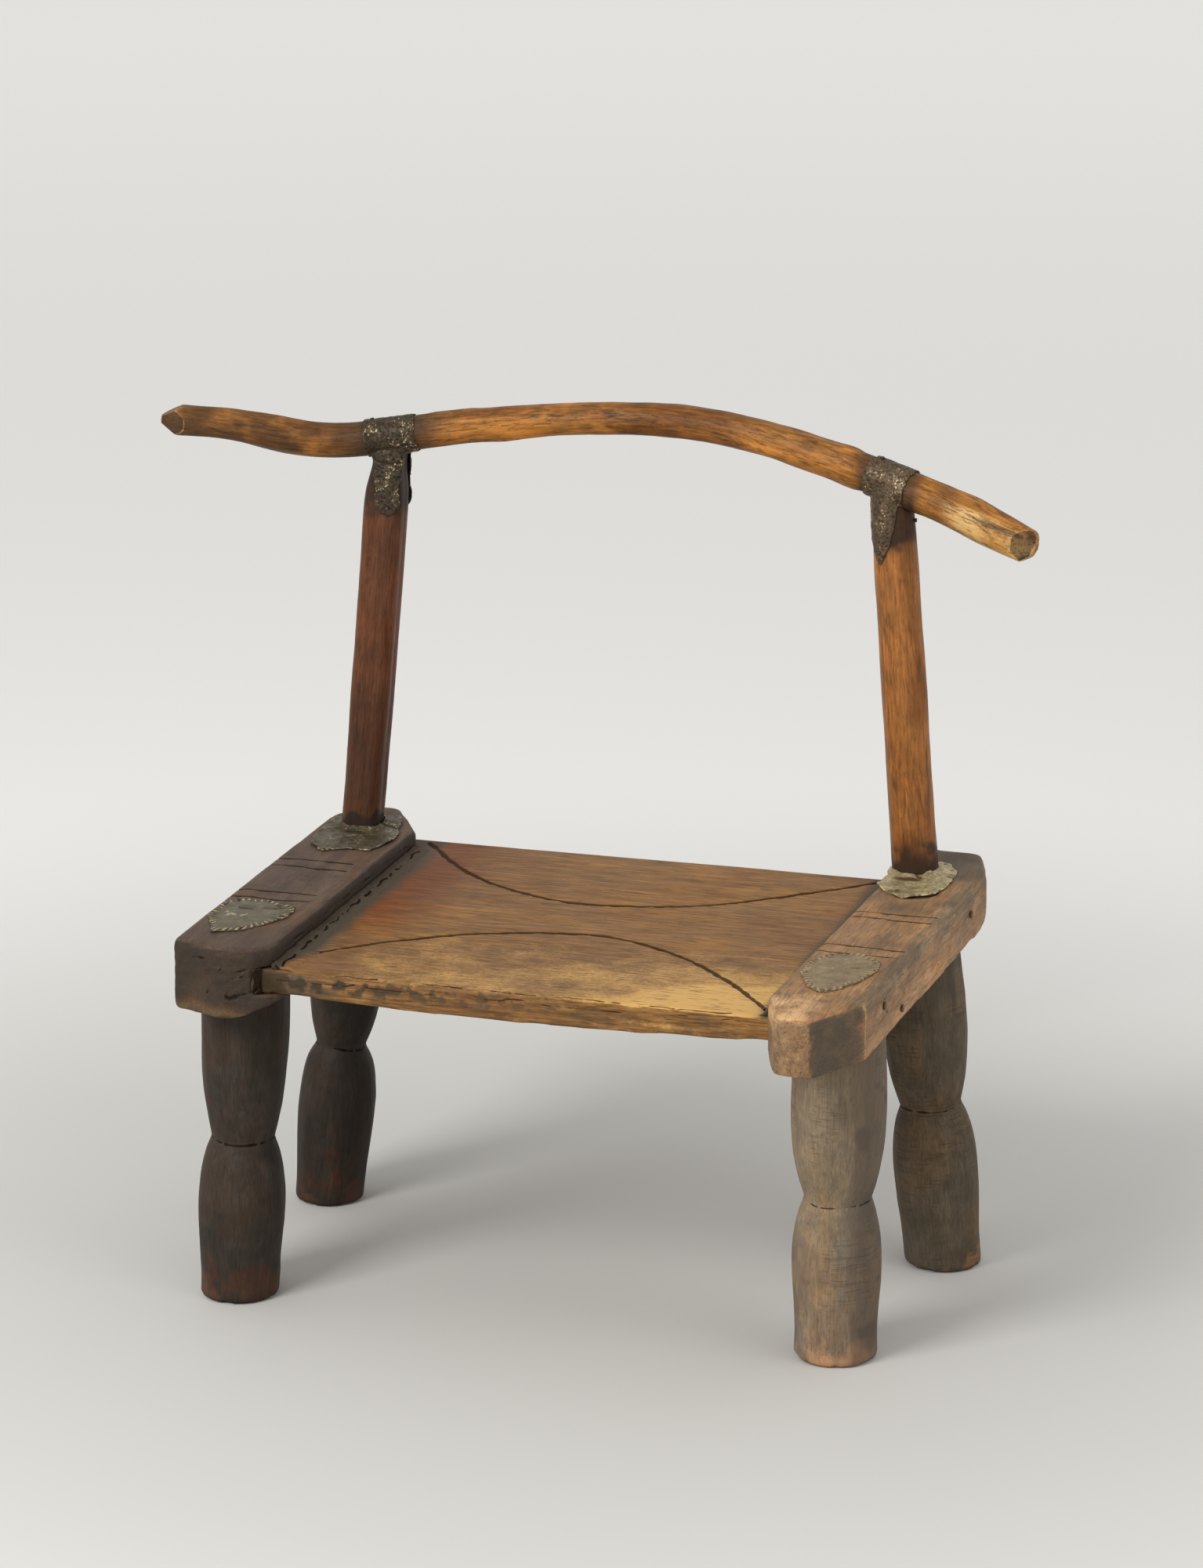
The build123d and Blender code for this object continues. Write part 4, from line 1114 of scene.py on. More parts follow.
@dataclass
class RightRail(Rail):
    """The longer, paler rail at the right."""

    NAME = "right_rail"
    PLACE = RIGHT
    CARVED = ((38, -31.5, 26), (25.5, -30.5, 25), (-39, -31, 24), (-55, -30.5, 25))
    SEED = 51
    FINISH = WoodFinish(
        name="right_rail_wood", mid=(0.315, 0.170, 0.076), bare=(0.63, 0.39, 0.185), stain=(0.088, 0.066, 0.045),
        cool=(0.70, 0.70, 0.74), warm=(1.22, 1.08, 0.88), tinge=(0.66, 0.80, 0.96), length=26 * MM, fibres=0.9,
        blotch=17.0, blotches=1.2, pores=0.5, streaks=0.34, polish=0.52, relief=0.00035, chatter=0.45, shift=3.3,
    )
    # Splits in the nose: half width and depth, then places across, along and up, all in millimetres.
    splits: tuple[tuple[float, float, tuple[Triple, ...]], ...] = (
        (0.5, 1.2, ((-9, -200, -22), (-6, -200.4, -25), (-2, -200.4, -24))),
        (0.45, 1.0, ((3, -200, -27), (4, -200.4, -31), (2, -200.4, -35))),
        (0.5, 1.2, ((-24, -172, -20), (-22, -177, -22), (-20, -180, -21))),
    )
    # Long checks in the outer side: start and end along, and up, in millimetres.
    checks: tuple[Triple, ...] = (
        (-150, -96, -10), (-80, -20, -7), (10, 60, -12), (-120, -60, -22), (80, 130, -17),
    )

    def cracks(self) -> list[Line]:
        """Small splits in the nose and long checks in the outer side.

        Returns:
            The lines.
        """
        place, outer = self.PLACE.world, self.PLACE.half / MM
        made = [Line.through([place(*knot) for knot in knots], w * MM, depth * MM) for w, depth, knots in self.splits]
        for start, end, up in self.checks:
            steps = between(start, end, 5)
            knots = [place(outer, along, up + 0.9 * math.sin(1.9 * t + start)) for t, along in steps]
            made.append(Line.through(knots, 0.36 * MM, 0.6 * MM))
        return made

    def paint(self, rail: Worked) -> dict[str, Array]:
        """Grey rubbed arrises, a golden nose, a dark outer cut, a sooty back end and a painted highlight on the inner
        arris.

        Args:
            rail: the worked mesh.

        Returns:
            The fields by name.
        """
        (across, along, height), (east, north, up) = self.PLACE.local(rail.points), rail.normals().T
        grime, fine = rail.noise(5, 0.026, 4), rail.noise(8, 0.008, 3, (1, 0.4, 1))
        top, under = step_up(up, 0.5, 0.9), step_up(-up, 0.5, 0.9)
        nose = 1 - step_up(along + 0.012 * grime, -0.165, -0.120)
        nose *= 1 - 0.55 * step_up(across, -0.006, 0.014)
        cut = step_up(-north, 0.15, 0.35) * (1 - step_up(along, -0.160, -0.150))
        outer_cut = step_up(east + 0.12 * fine, 0.3, 0.6) * cut
        face = step_up(-north, 0.75, 0.95) + step_up(-east, 0.2, 0.5) * cut
        rear = step_up(along + 0.010 * grime, 0.105, 0.140)
        edge = rail.edge_wear(4, 12, 0.0014)
        wear = most(
            edge * 0.35 + edge * nose * 0.9,
            top * nose * (0.74 + 0.35 * grime),
            face * (0.25 + 0.35 * fine + 0.5 * step_up(height, -0.022, -0.004)),
            (0.22 + 0.4 * step_up(fine, 0.2, 0.9)) * (1 - top),
            # A painted highlight: a pale line along the inner arris.
            edge * (1 - step_up(across, -0.0312, -0.0295)),
        )
        corner = np.exp(-(((north + 0.22) / 0.13) ** 2)) * step_up(east, 0.5, 0.8) * (along < -0.135)
        sides = (1 - top) * (1 - held(face))
        stain = outer_cut * (1.0 - 0.20 * step_up(along, -0.192, -0.164) + 0.10 * grime + 0.08 * fine)
        stain += face * (0.52 - 0.2 * step_up(height, -0.022, -0.010) + 0.25 * grime) + sides * (0.06 + 0.15 * fine)
        outer_rim = 1 - step_up(np.abs(across - 0.0285 + 0.002 * grime), 0.003, 0.008)
        tinge = outer_rim * step_up(height, -0.012, -0.006) * (1 - 0.7 * nose)
        dulled = top * step_up(along, -0.10, 0.02) * (0.42 + 0.3 * grime)
        return painted(
            wear=np.maximum(wear * (1 - 0.9 * outer_cut), corner * (0.75 + 0.3 * fine)),
            stain=most(stain, dulled, top * rear * (0.92 + 0.2 * grime), under * 0.6),
            tinge=tinge + 0.4 * step_up(-grime, 0.1, 0.8),
        )


# ---------------------------------------------------------------- legs


@dataclass
class Leg:
    """One waisted leg, pared to shape with a knife."""

    name: str
    slot: str
    line: Shaft
    waist: float  # its height along the leg, in metres
    finish: WoodFinish
    seed: int
    foot_bare: float  # height of the worn zone at the foot, in metres
    side_shade: float = 0.0  # strength of the painted shade on the side away from the key light, from 0 to 1
    voxel: float = 1.8 * MM
    flats: int = 13
    paring: float = 0.35  # share of their full depth that the flats are cut to
    waviness: float = 0.28 * MM
    hollows: float = 0.45 * MM
    rim_chips: float = 0.9 * MM  # round the foot
    neck_width: float = 0.45 * MM
    neck_depth: float = 0.8 * MM
    # Pieces of the broken knife line round the waist: from and to, in radians.
    neck_cuts: tuple[tuple[float, float], ...] = ((-2.9, -1.95), (-1.8, -0.75), (-0.6, 0.9), (1.1, 2.9))
    shaded_side: Triple = (0.95, 0.31, 0.0)  # direction of the side with the painted shade, towards the camera's right

    def neck(self, radius: float) -> list[Line]:
        """Broken knife line round the waist.

        Args:
            radius: radius there, in metres.

        Returns:
            Its pieces.
        """
        up, across, third = self.line.axes()
        made = []
        for start, end in self.neck_cuts:
            knots = []
            for _, angle in between(start, end, 7):
                rise = self.waist + 0.0007 * math.sin(2.3 * angle + self.seed)
                spoke = math.cos(angle) * across + math.sin(angle) * third
                knots.append(np.array(self.line.foot) + up * rise + radius * spoke)
            made.append(Line.through(knots, self.neck_width, self.neck_depth))
        return made

    def paint(self, leg: Worked, body: Array) -> dict[str, Array]:
        """Wear and dirt, and painted shade on the side away from the key light.

        Args:
            leg: the worked mesh.
            body: 1 on the turned body, 0 on the tenon.

        Returns:
            The fields by name.
        """
        height, a, b = self.line.local(leg.points)
        grime, rust = leg.noise(4, 0.020, 4), leg.noise(6, 0.012, 4, (1, 1, 0.7))
        rise = height + 0.012 * grime + 0.010 * rust
        bare = 1 - step_up(rise, -0.2 * self.foot_bare, self.foot_bare)
        reddish = (1 - step_up(height + 0.03 * grime, self.foot_bare, 2.6 * self.foot_bare)) * step_up(rust, -0.5, 0.5)
        below_neck = np.exp(-(((height - self.waist + 0.006) / 0.005) ** 2))
        # Painted shade: the side facing the camera's right is darkened, as if turned away from the key light.
        painted_side_shade = step_up(leg.normals() @ np.array(self.shaded_side) + 0.12 * grime, -0.15, 0.55)
        stain = 0.30 * step_up(grime, 0.1, 0.9) + 0.55 * (1 - step_up(height, 0.0, 2.5 * MM))
        stain += 0.30 * step_up(leg.noise(7, 0.012, 3), 0.45, 1.0)
        stain += 0.25 * below_neck * step_up(np.sin(np.arctan2(b, a) * 2 + self.seed) + grime, 0.0, 1.0)
        return painted(
            wear=np.maximum(leg.edge_wear(5, 12, 0.0015) * body * 0.30, bare * body * 0.90),
            stain=stain + self.side_shade * painted_side_shade * body,
            tinge=np.maximum(reddish, 0.45 * step_up(rust + 0.5 * grime, 0.35, 1.1)),
        )

    def build(self) -> None:
        """Make and dress the leg."""
        leg = Worked(self.name, self.name, self.voxel, 2, self.seed)
        height, a, b = self.line.local(leg.points)
        at_waist = np.abs(height - self.waist) < 1.5 * MM
        neck = self.neck(float(np.median(np.hypot(a, b)[at_waist])))
        leg.refine(neck, 2.6 * MM, 2)
        height, a, b = self.line.local(leg.points)
        radius = np.hypot(a, b)
        body = step_up(radius, 15 * MM, 17 * MM)
        pared = body * (1 - step_up(-leg.normals()[:, 2], 0.6, 0.9))
        off = off_middle(np.arctan2(b, a) + 0.25 * leg.noise(0, 0.05, 1), self.flats)
        leg.push((math.cos(math.pi / self.flats) - np.cos(off)) * radius * self.paring * pared)
        leg.push(pared * self.waviness * leg.noise(0, 0.012, 3, (1, 1, 0.3)))
        leg.push(-pared * self.hollows * np.abs(leg.noise(1, 0.03, 1)))
        rim = (1 - step_up(height, 0.0, 6 * MM)) * body
        leg.push(-rim * self.rim_chips * step_up(leg.noise(2, 0.007, 2), 0.1, 0.9))
        leg.carve(neck, 3, 0.6)
        leg.points[:, 2] = np.maximum(leg.points[:, 2], 0.0)
        height, a, b = self.line.local(leg.points)
        leg.finish(self.finish, self.slot, np.stack([a, b, height], axis=1), **self.paint(leg, body))


@dataclass(frozen=True)
class LegSet:
    """The four legs and their two woods."""

    dark: WoodFinish = WoodFinish(
        name="left_leg_wood", mid=(0.040, 0.030, 0.0225), bare=(0.095, 0.044, 0.024), stain=(0.017, 0.013, 0.010),
        cool=(0.84, 0.90, 0.94), warm=(1.28, 1.04, 0.86), tinge=(1.55, 0.98, 0.74), width=1.6 * MM, length=18 * MM,
        fibres=0.7, bands=0.4, swell=0.3, blotch=20.0, polish=0.55, chatter=0.25,
    )
    grey: WoodFinish = WoodFinish(
        name="right_leg_wood", mid=(0.130, 0.097, 0.062), bare=(0.320, 0.162, 0.077), stain=(0.060, 0.045, 0.034),
        cool=(0.82, 0.88, 0.92), warm=(1.20, 1.02, 0.84), tinge=(0.85, 0.91, 1.06), width=1.6 * MM, length=16 * MM,
        fibres=0.65, bands=0.4, swell=0.3, blotch=22.0, blotches=0.8, polish=0.58, chatter=1.0,
    )

    @staticmethod
    def toned(wood: WoodFinish, name: str, shift: float, tone: float, dirt: float = 1.0) -> WoodFinish:
        """A wood of its own for one leg.

        Args:
            wood: the wood of its side.
            name: material name.
            shift: so that no two legs have the same grain.
            tone: how light the wood is.
            dirt: how light its dirt is.

        Returns:
            The finish.
        """
        colours = {"mid": faded(wood.mid, tone), "bare": faded(wood.bare, tone), "stain": faded(wood.stain, dirt)}
        return replace(wood, name=name, shift=shift, **colours)

    def build(self) -> None:
        """Make and dress all four."""
        left, right = self.dark.name, self.grey.name
        front_left = Shaft((-0.18206, -0.10767, 0), (-0.17536, -0.09707, RAIL_TOP))
        rear_left = Shaft((-0.19037, 0.08408, 0), (-0.16877, 0.09278, RAIL_TOP))
        front_right = Shaft((0.23112, -0.09199, 0), (0.23392, -0.10099, RAIL_TOP))
        rear_right = Shaft((0.25658, 0.09474, 0), (0.23228, 0.09204, RAIL_TOP))
        woods = (
            self.toned(self.dark, left, 0.0, 0.90),
            self.toned(self.dark, "rear_left_leg_wood", 4.1, 0.70),
            # The front right leg's wood and dirt are made 1.62 times lighter: its own paler tone together with painted
            # sunlight.
            self.toned(self.grey, right, 2.3, 1.62, 1.62),
            self.toned(self.grey, "rear_right_leg_wood", 6.7, 0.74, 0.74),
        )
        Leg("front_left_leg", left, front_left, 0.110, woods[0], 71, 0.020).build()
        Leg("rear_left_leg", left, rear_left, 0.115, woods[1], 81, 0.012).build()
        # The front right leg gets painted shade on its right side.
        Leg("front_right_leg", right, front_right, 0.111, woods[2], 91, 0.043, 0.66).build()
        Leg("rear_right_leg", right, rear_right, 0.114, woods[3], 101, 0.007).build()


# ---------------------------------------------------------------- posts and branch


@dataclass
class Post:
    """One post of the back."""

    name: str
    line: Shaft  # from the rail's top to the branch's middle line
    finish: WoodFinish
    seed: int
    flats: int  # pared round it, or 0
    sooty_foot: float  # height of the blackened zone at its foot, in metres
    sooty_head: float
    neck: float = 0.0  # height of the narrowed place below the strap
    waist: float = 0.0  # share by which it is narrower there
    voxel: float = 1.2 * MM
    flat_depth: float = 0.55 * MM
    ridges: float = 0.3 * MM  # along the grain
    waviness: float = 0.4 * MM

    def build(self) -> None:
        """Make and dress the post."""
        post = Worked(self.name, self.name, self.voxel, 2, self.seed)
        height, a, b = self.line.local(post.points)
        shaft = step_up(height, 0.0, 2 * MM) * step_up(np.hypot(a, b), 8.5 * MM, 10 * MM)
        if self.flats:
            off = off_middle(np.arctan2(b, a) + 0.2 * post.noise(0, 0.08, 1), self.flats)
            post.push(-self.flat_depth * shaft * (np.abs(off) * self.flats / math.pi) ** 3)
        grain = np.stack([a, b, height], axis=1)
        post.push(shaft * self.ridges * post.noise(0, 0.007, 3, (1, 1, 0.16), grain))
        post.push(shaft * self.waviness * post.noise(1, 0.045, 1))
        height, a, b = self.line.local(post.points)
        neck = np.exp(-(((height - self.neck) / (13 * MM)) ** 2)) * shaft
        post.points -= (a * neck)[:, None] * self.line.axes()[1] * self.waist
        grime = post.noise(2, 0.016, 4)
        soot = 1 - step_up(height + 0.012 * grime, 0.45 * self.sooty_foot, 1.1 * self.sooty_foot)
        below_head = math.dist(self.line.foot, self.line.head) - self.sooty_head
        head = step_up(height + 0.010 * grime, below_head - 0.016, below_head)
        low = 0.30 * (1 - step_up(height, 0.03, 0.16)) if self.flats else 0.0
        fields = painted(
            wear=post.edge_wear(3, 10, 0.0012) * 0.5,
            stain=np.maximum(soot * 0.95, head * 0.9) + 0.18 * step_up(grime, 0.2, 1.0) + low,
        )
        post.finish(self.finish, f"{self.name}_wood", np.stack([a, b, height], axis=1), **fields)


@dataclass
class Branch:
    """The bent branch: lumps, ridges along the grain and whittled ends."""

    finish: WoodFinish = WoodFinish(
        name="branch_wood", mid=(0.340, 0.140, 0.030), dark=0.50, bare=(0.64, 0.41, 0.155),
        stain=(0.038, 0.023, 0.014), cool=(0.56, 0.50, 0.50), warm=(1.20, 1.12, 0.95), tinge=(0.31, 0.34, 0.54),
        length=20 * MM, pores=0.7, streaks=0.7, polish=0.44, relief=0.0003, shift=5.7,
    )
    voxel: float = 1.3 * MM
    lumps: float = 0.85 * MM
    ridges: float = 0.45 * MM  # along the grain
    bulge_height: float = 1.1 * MM
    sections: int = 90  # of the middle line
    tips: float = 0.27  # how far from the chair's middle the whittled tips begin, in metres
    # Where the straps lie: x, half width, and reach of the soot beside it.
    saddles: tuple[Triple, ...] = ((-0.1517, 0.018, 0.030), (0.2007, 0.016, 0.016))
    # Bulges: x, share of the bulge height, and half length.
    bulges: tuple[Triple, ...] = (
        (0.172, 1.6, 0.010), (0.135, 0.6, 0.016), (-0.232, 0.8, 0.016), (0.045, 0.6, 0.010), (-0.075, 0.7, 0.011),
        (0.262, 0.6, 0.009),
    )
    # Flats at the ends: which end; direction out along the branch, to the front and up; distance from the tip in
    # millimetres; how dark.
    whittled: tuple[tuple[int, float, float, float, float, float], ...] = (
        (-1, 0.45, 0.87, -0.18, 3.4, 0.75),
        (-1, 0.54, 0.00, 0.84, 2.6, 0.25),
        (-1, 0.54, 0.00, -0.84, 3.8, 0.35),
        (-1, 0.75, -0.66, 0.00, 5.0, 0.35),
        (1, 0.62, 0.76, 0.18, 2.6, 0.72),
        (1, 0.85, -0.20, 0.49, 4.2, 0.75),
        (1, 0.70, 0.10, -0.70, 6.2, 0.12),
        (1, 0.75, -0.66, 0.00, 6.0, 0.25),
    )

    def middle_line(self, points: Array) -> Array:
        """The branch's middle line, read from the spread of its points.

        Args:
            points: (n, 3) metres.

        Returns:
            (m, 3) points from left to right.
        """
        x = points[:, 0]
        order = np.linspace(x.min(), x.max(), self.sections + 1)
        line = []
        for low, high in zip(order[:-1], order[1:]):
            part = points[(x >= low) & (x < high)]
            if len(part):
                _, y, z = (part.min(0) + part.max(0)) / 2
                line.append([(low + high) / 2, y, z])
        line = np.array(line)
        for _ in range(6):
            line[1:-1] = 0.5 * line[1:-1] + 0.25 * (line[:-2] + line[2:])
        return line

    @staticmethod
    def local(points: Array, line: Array) -> tuple[Array, Array]:
        """Length along the branch and offset from its middle line.

        Args:
            points: (n, 3) metres.
            line: the middle line.

        Returns:
            (n,) lengths and (n, 3) offsets.
        """
        lengths = np.concatenate([[0], np.cumsum(np.linalg.norm(np.diff(line, axis=0), axis=1))])
        along, *middle = (np.interp(points[:, 0], line[:, 0], values) for values in (lengths, *line.T))
        return along, points - np.stack(middle, axis=1)

    def whittle(self, branch: Worked, line: Array) -> tuple[Array, Array]:
        """Cut the flats at both ends.

        Args:
            branch: the worked mesh.
            line: its middle line.

        Returns:
            1 on the flats, and how dark they are.
        """
        flats, darkness = np.zeros((2, len(branch.points)))
        for end, out, forward, up, beyond, dark in self.whittled:
            tip, inner = (line[0], line[6]) if end < 0 else (line[-1], line[-7])
            axis = (tip - inner) / np.linalg.norm(tip - inner)
            front = np.array([axis[1], -axis[0], 0.0]) * end
            front /= np.linalg.norm(front)
            facing = out * axis + forward * front + up * np.cross(front, axis) * end
            facing /= np.linalg.norm(facing)
            over = (branch.points - tip) @ facing - beyond * MM
            hit = (over > 0) & (branch.points[:, 0] * end > self.tips)
            branch.points -= np.where(hit, over, 0)[:, None] * facing
            flats[hit], darkness[hit] = 1, dark
        return flats, darkness

    def build(self) -> None:
        """Make and dress the branch."""
        branch = Worked("backrest_branch", "backrest_branch", self.voxel, 3, 121)
        line = self.middle_line(branch.start)
        along, offset = self.local(branch.points, line)
        free = np.ones(len(along))
        for place, half, _ in self.saddles:
            free *= step_up(np.abs(branch.points[:, 0] - place), half + 2 * MM, half + 10 * MM)
        unbent = np.stack([offset[:, 1], offset[:, 2], along], axis=1)
        branch.push(free * self.lumps * branch.noise(0, 0.020, 2, (1, 1, 0.5), unbent))
        branch.push(free * self.ridges * branch.noise(1, 0.006, 3, (1, 1, 0.10), unbent))
        for place, height, size in self.bulges:
            bulge = np.exp(-(((branch.points[:, 0] - place) / size) ** 2))
            side = 0.5 + 0.5 * np.sin(np.arctan2(offset[:, 2], offset[:, 1]) + place * 31)
            branch.push(free * bulge * side * height * self.bulge_height)
        flats, darkness = self.whittle(branch, line)
        along, offset = self.local(branch.points, line)
        x = branch.points[:, 0]
        grime = branch.noise(2, 0.020, 4)
        outward = offset / np.maximum(np.linalg.norm(offset, axis=1, keepdims=True), 0.1 * MM)
        # Painted sunlight on the branch's right end, on the side facing forward and down, drawn in the bare colour.
        faced = outward @ np.array([0.0, -0.85, -0.50]) + 0.45 * branch.noise(4, 0.012, 3, (1, 1, 0.10), unbent)
        painted_sunlit_end = step_up(x, 0.222, 0.262) * step_up(faced, -0.1, 0.6) * (0.84 + 0.25 * grime)
        rim = held(branch.neighbour_mean(flats) * (1 - flats) * 6) * (np.abs(x) > self.tips)
        soot = [1 - step_up(np.abs(x - at) + 0.008 * grime, half, half + reach) for at, half, reach in self.saddles]
        fields = painted(
            wear=most(branch.edge_wear(3, 10, 0.0010) * 0.5 * free, painted_sunlit_end, rim * 0.8),
            stain=most(most(*soot) * 0.75, (1 - free) * 0.8, darkness) + 0.42 * step_up(grime, 0.15, 1.0),
            tinge=(1 - step_up(x, -0.20, -0.06)) * (0.75 + 0.5 * grime),
        )
        branch.finish(self.finish, "branch_wood", np.stack([offset[:, 1], offset[:, 2], along], axis=1), **fields)


@dataclass
class Back:
    """Posts and branch."""

    left_foot: Triple = LEFT.world(-4.4, 130.0)
    right_foot: Triple = RIGHT.world(-15.5, 137.4)
    reddish: WoodFinish = WoodFinish(
        name="left_upright_wood", mid=(0.095, 0.034, 0.014), bare=(0.19, 0.085, 0.036), stain=(0.028, 0.017, 0.012),
        cool=(0.80, 0.80, 0.86), warm=(1.20, 1.0, 0.86), width=1.5 * MM, blotch=18.0, pores=0.45, polish=0.44,
        shift=7.1,
    )
    golden: WoodFinish = WoodFinish(
        name="right_upright_wood", mid=(0.262, 0.103, 0.027), bare=(0.42, 0.24, 0.095), stain=(0.038, 0.020, 0.012),
        cool=(0.72, 0.66, 0.66), warm=(1.18, 1.12, 1.0), width=1.7 * MM, blotch=17.0, streaks=0.4, pores=0.45,
        polish=0.44, shift=8.9,
    )

    def __post_init__(self) -> None:
        """Lay the posts' lines."""
        self.left = Shaft(self.left_foot, moved(self.left_foot, 25, 1, 281))
        self.right = Shaft(self.right_foot, moved(self.right_foot, -20.5, -3, 271))

    def build(self) -> None:
        """Make and dress the back."""
        Post("left_upright", self.left, self.reddish, 131, 10, 0.010, 0.045, 0.262, 0.16).build()
        Post("right_upright", self.right, self.golden, 141, 0, 0.026, 0.030).build()
        Branch().build()


# ---------------------------------------------------------------- sheet metal


@dataclass
class Sheet:
    """A hammered, nailed-down piece of sheet metal."""

    RIM_BINS: ClassVar[int] = 120

    name: str
    slot: str
    skeleton: tuple[Shaft, ...]  # what the sheet lies round; nothing for a flat one
    finish: SheetFinish
    seed: int
    dent: float  # how broad the dents are, in metres
    depth: float  # how deep they are
    crumple: float  # height of the broad buckles
    notches: float  # how far its edges are gnawed
    voxel: float = 0.6 * MM
    teeth: float = 0.0  # spacing of the short cuts along its rim, or 0
    squash: float = 0.0  # share by which what stands up is pressed flat
    folds: tuple[tuple[Triple, ...], ...] = ()  # creases
    centre: Triple = (0.0, 0.0, 0.0)  # the post's foot that a collar's creases run out from
    blunt: float = 0.0  # how far up from its tip a tongue is broadened, in metres
    blunt_rise: float = 2.2 * MM  # how much shorter that makes it
    tooth_height: float = 0.3 * MM
    roughness: float = 0.08 * MM
    fold_width: float = 0.75 * MM
    fold_depth: float = 0.8 * MM

    def outward(self, points: Array) -> Array:
        """Direction away from what the sheet is nailed to.

        Args:
            points: (n, 3) metres.

        Returns:
            (n, 3) unit vectors.
        """
        if not self.skeleton:
            return np.tile(np.array([0.0, 0.0, 1.0]), (len(points), 1))
        best, way = np.full(len(points), FAR_OFF), np.zeros_like(points)
        for bone in self.skeleton:
            start, run = np.array(bone.foot), np.array(bone.head) - np.array(bone.foot)
            offset = points - start - held((points - start) @ run / (run @ run))[:, None] * run
            distance = np.linalg.norm(offset, axis=1)
            closer = distance < best
            best, way = np.where(closer, distance, best), np.where(closer[:, None], offset, way)
        return way / np.maximum(np.linalg.norm(way, axis=1), 1e-9)[:, None]

    def shape(self, sheet: Worked) -> None:
        """Press it flat, broaden its tongues' tips and pull its edges in unevenly, as far as it asks for.

        Args:
            sheet: the worked mesh.
        """
        points = sheet.points
        if self.squash:
            points[:, 2] -= np.clip(points[:, 2] - (RAIL_TOP + SHEET_THICKNESS), 0, None) * self.squash
        if self.blunt:
            near = held(1 - (points[:, 2] - points[:, 2].min()) / self.blunt)
            tip = points[near > 0.85, 0].mean()
            points[:, 0] += (points[:, 0] - tip) * 0.75 * near * (1.6 - near)
            points[:, 2] += self.blunt_rise * near**3
        outline = held(sheet.convexity(4) / 0.00012)
        bite = step_up(sheet.noise(3, 0.006, 3), -0.1, 0.7)
        pull = -sheet.normals() * (self.notches * bite * outline)[:, None]
        if not self.skeleton:
            pull[:, 2] = 0
        for _ in range(3):
            pull = 0.5 * pull + 0.5 * sheet.neighbour_mean(pull)
        sheet.points += 1.7 * pull

    def tooth(self, points: Array) -> Array:
        """Short cuts along a flat sheet's rim.

        Args:
            points: (n, 3) metres.

        Returns:
            From -1 in a cut to 1 on a tooth, 0 away from the rim.
        """
        count = self.RIM_BINS
        x, y, _ = (points - (points.min(0) + points.max(0)) / 2).T
        turn, reach = (np.arctan2(y, x) + math.pi) / (2 * math.pi) * count, np.hypot(x, y)
        rim = np.zeros(count)
        np.maximum.at(rim, turn.astype(int) % count, reach)
        rim = np.maximum(rim, 0.3 * (np.roll(rim, 1) + np.roll(rim, -1)) + 0.4 * rim)
        run = np.concatenate([[0], np.cumsum(rim * 2 * math.pi / count)])
        along = np.interp(turn, np.arange(count + 1), run)
        inset = np.interp(turn - 0.5, np.arange(-1, count + 1), np.concatenate([rim[-1:], rim, rim[:1]])) - reach
        sway = Chance(self.seed + 9).smooth(points, 0.012)
        wave = np.sin(2 * math.pi * along / self.teeth + 1.8 * sway)
        return wave * (1 - step_up(inset + 0.0012 * sway, 0.0040, 0.0060))

    def build(self) -> None:
        """Make and dress the sheet."""
        sheet = Worked(self.name, self.name, self.voxel, 1, self.seed)
        self.shape(sheet)
        way = self.outward(sheet.points)
        distance, own = Chance(self.seed).chips(sheet.points, self.dent)
        bowl = (1 - held(distance * 1.15) ** 2) * (0.35 + 0.65 * own)
        buckle, fine = sheet.noise(1, 0.014, 3), sheet.noise(2, 0.0028, 2)
        x, y, _ = (sheet.points - np.array(self.centre)).T
        if self.squash:
            reach = np.hypot(x, y)
            spread = np.stack([x / reach * 0.018, y / reach * 0.018, reach * 0.25], axis=1)
            crease = 1 - 2.2 * np.abs(sheet.noise(6, 0.0085, 2, at=spread))
            near = 1 - step_up(reach, 0.018, 0.034)
            buckle = 0.7 * crease * (0.5 + 0.8 * near) + 0.5 * buckle
        lift = self.crumple * (0.55 + 0.6 * buckle) - self.depth * bowl + self.roughness * fine
        cut = rim = np.zeros(len(lift))
        if self.teeth:
            tooth = self.tooth(sheet.points)
            lift += self.tooth_height * tooth
            buckle = buckle * (1 - np.abs(tooth)) + tooth
            cut = step_up(-tooth, 0.45, 0.9) * 0.6
            rim = 0.95 * step_up(tooth, 0.15, 0.7)
        sheet.points += way * lift[:, None]
        if self.folds:
            folds = [Line.through(knots, self.fold_width, self.fold_depth) for knots in self.folds]
            sheet.carve(sheet.settle(folds), 7, 0.4)
            cut = np.maximum(cut, sheet.fields.pop("cut"))
        raised = most(held(distance * 0.75 + 0.35 * buckle) * 0.8, held(sheet.convexity(8) / 0.00035), rim)
        stain = 0.55 * step_up(-buckle, 0.1, 0.8) + 0.35 * step_up(sheet.noise(4, 0.008, 3), 0.2, 0.9)
        stain = np.maximum(stain * (1 - rim), cut * 1.2)
        if self.squash:
            dark_facet = np.exp(-(((x - 0.001) / 0.0125) ** 2) - ((y + 0.0250) / 0.0052) ** 2)
            stain = np.maximum(stain, dark_facet)
        sheet.finish(self.finish, self.slot, sheet.points, **painted(raised=raised * (1 - cut), stain=stain))


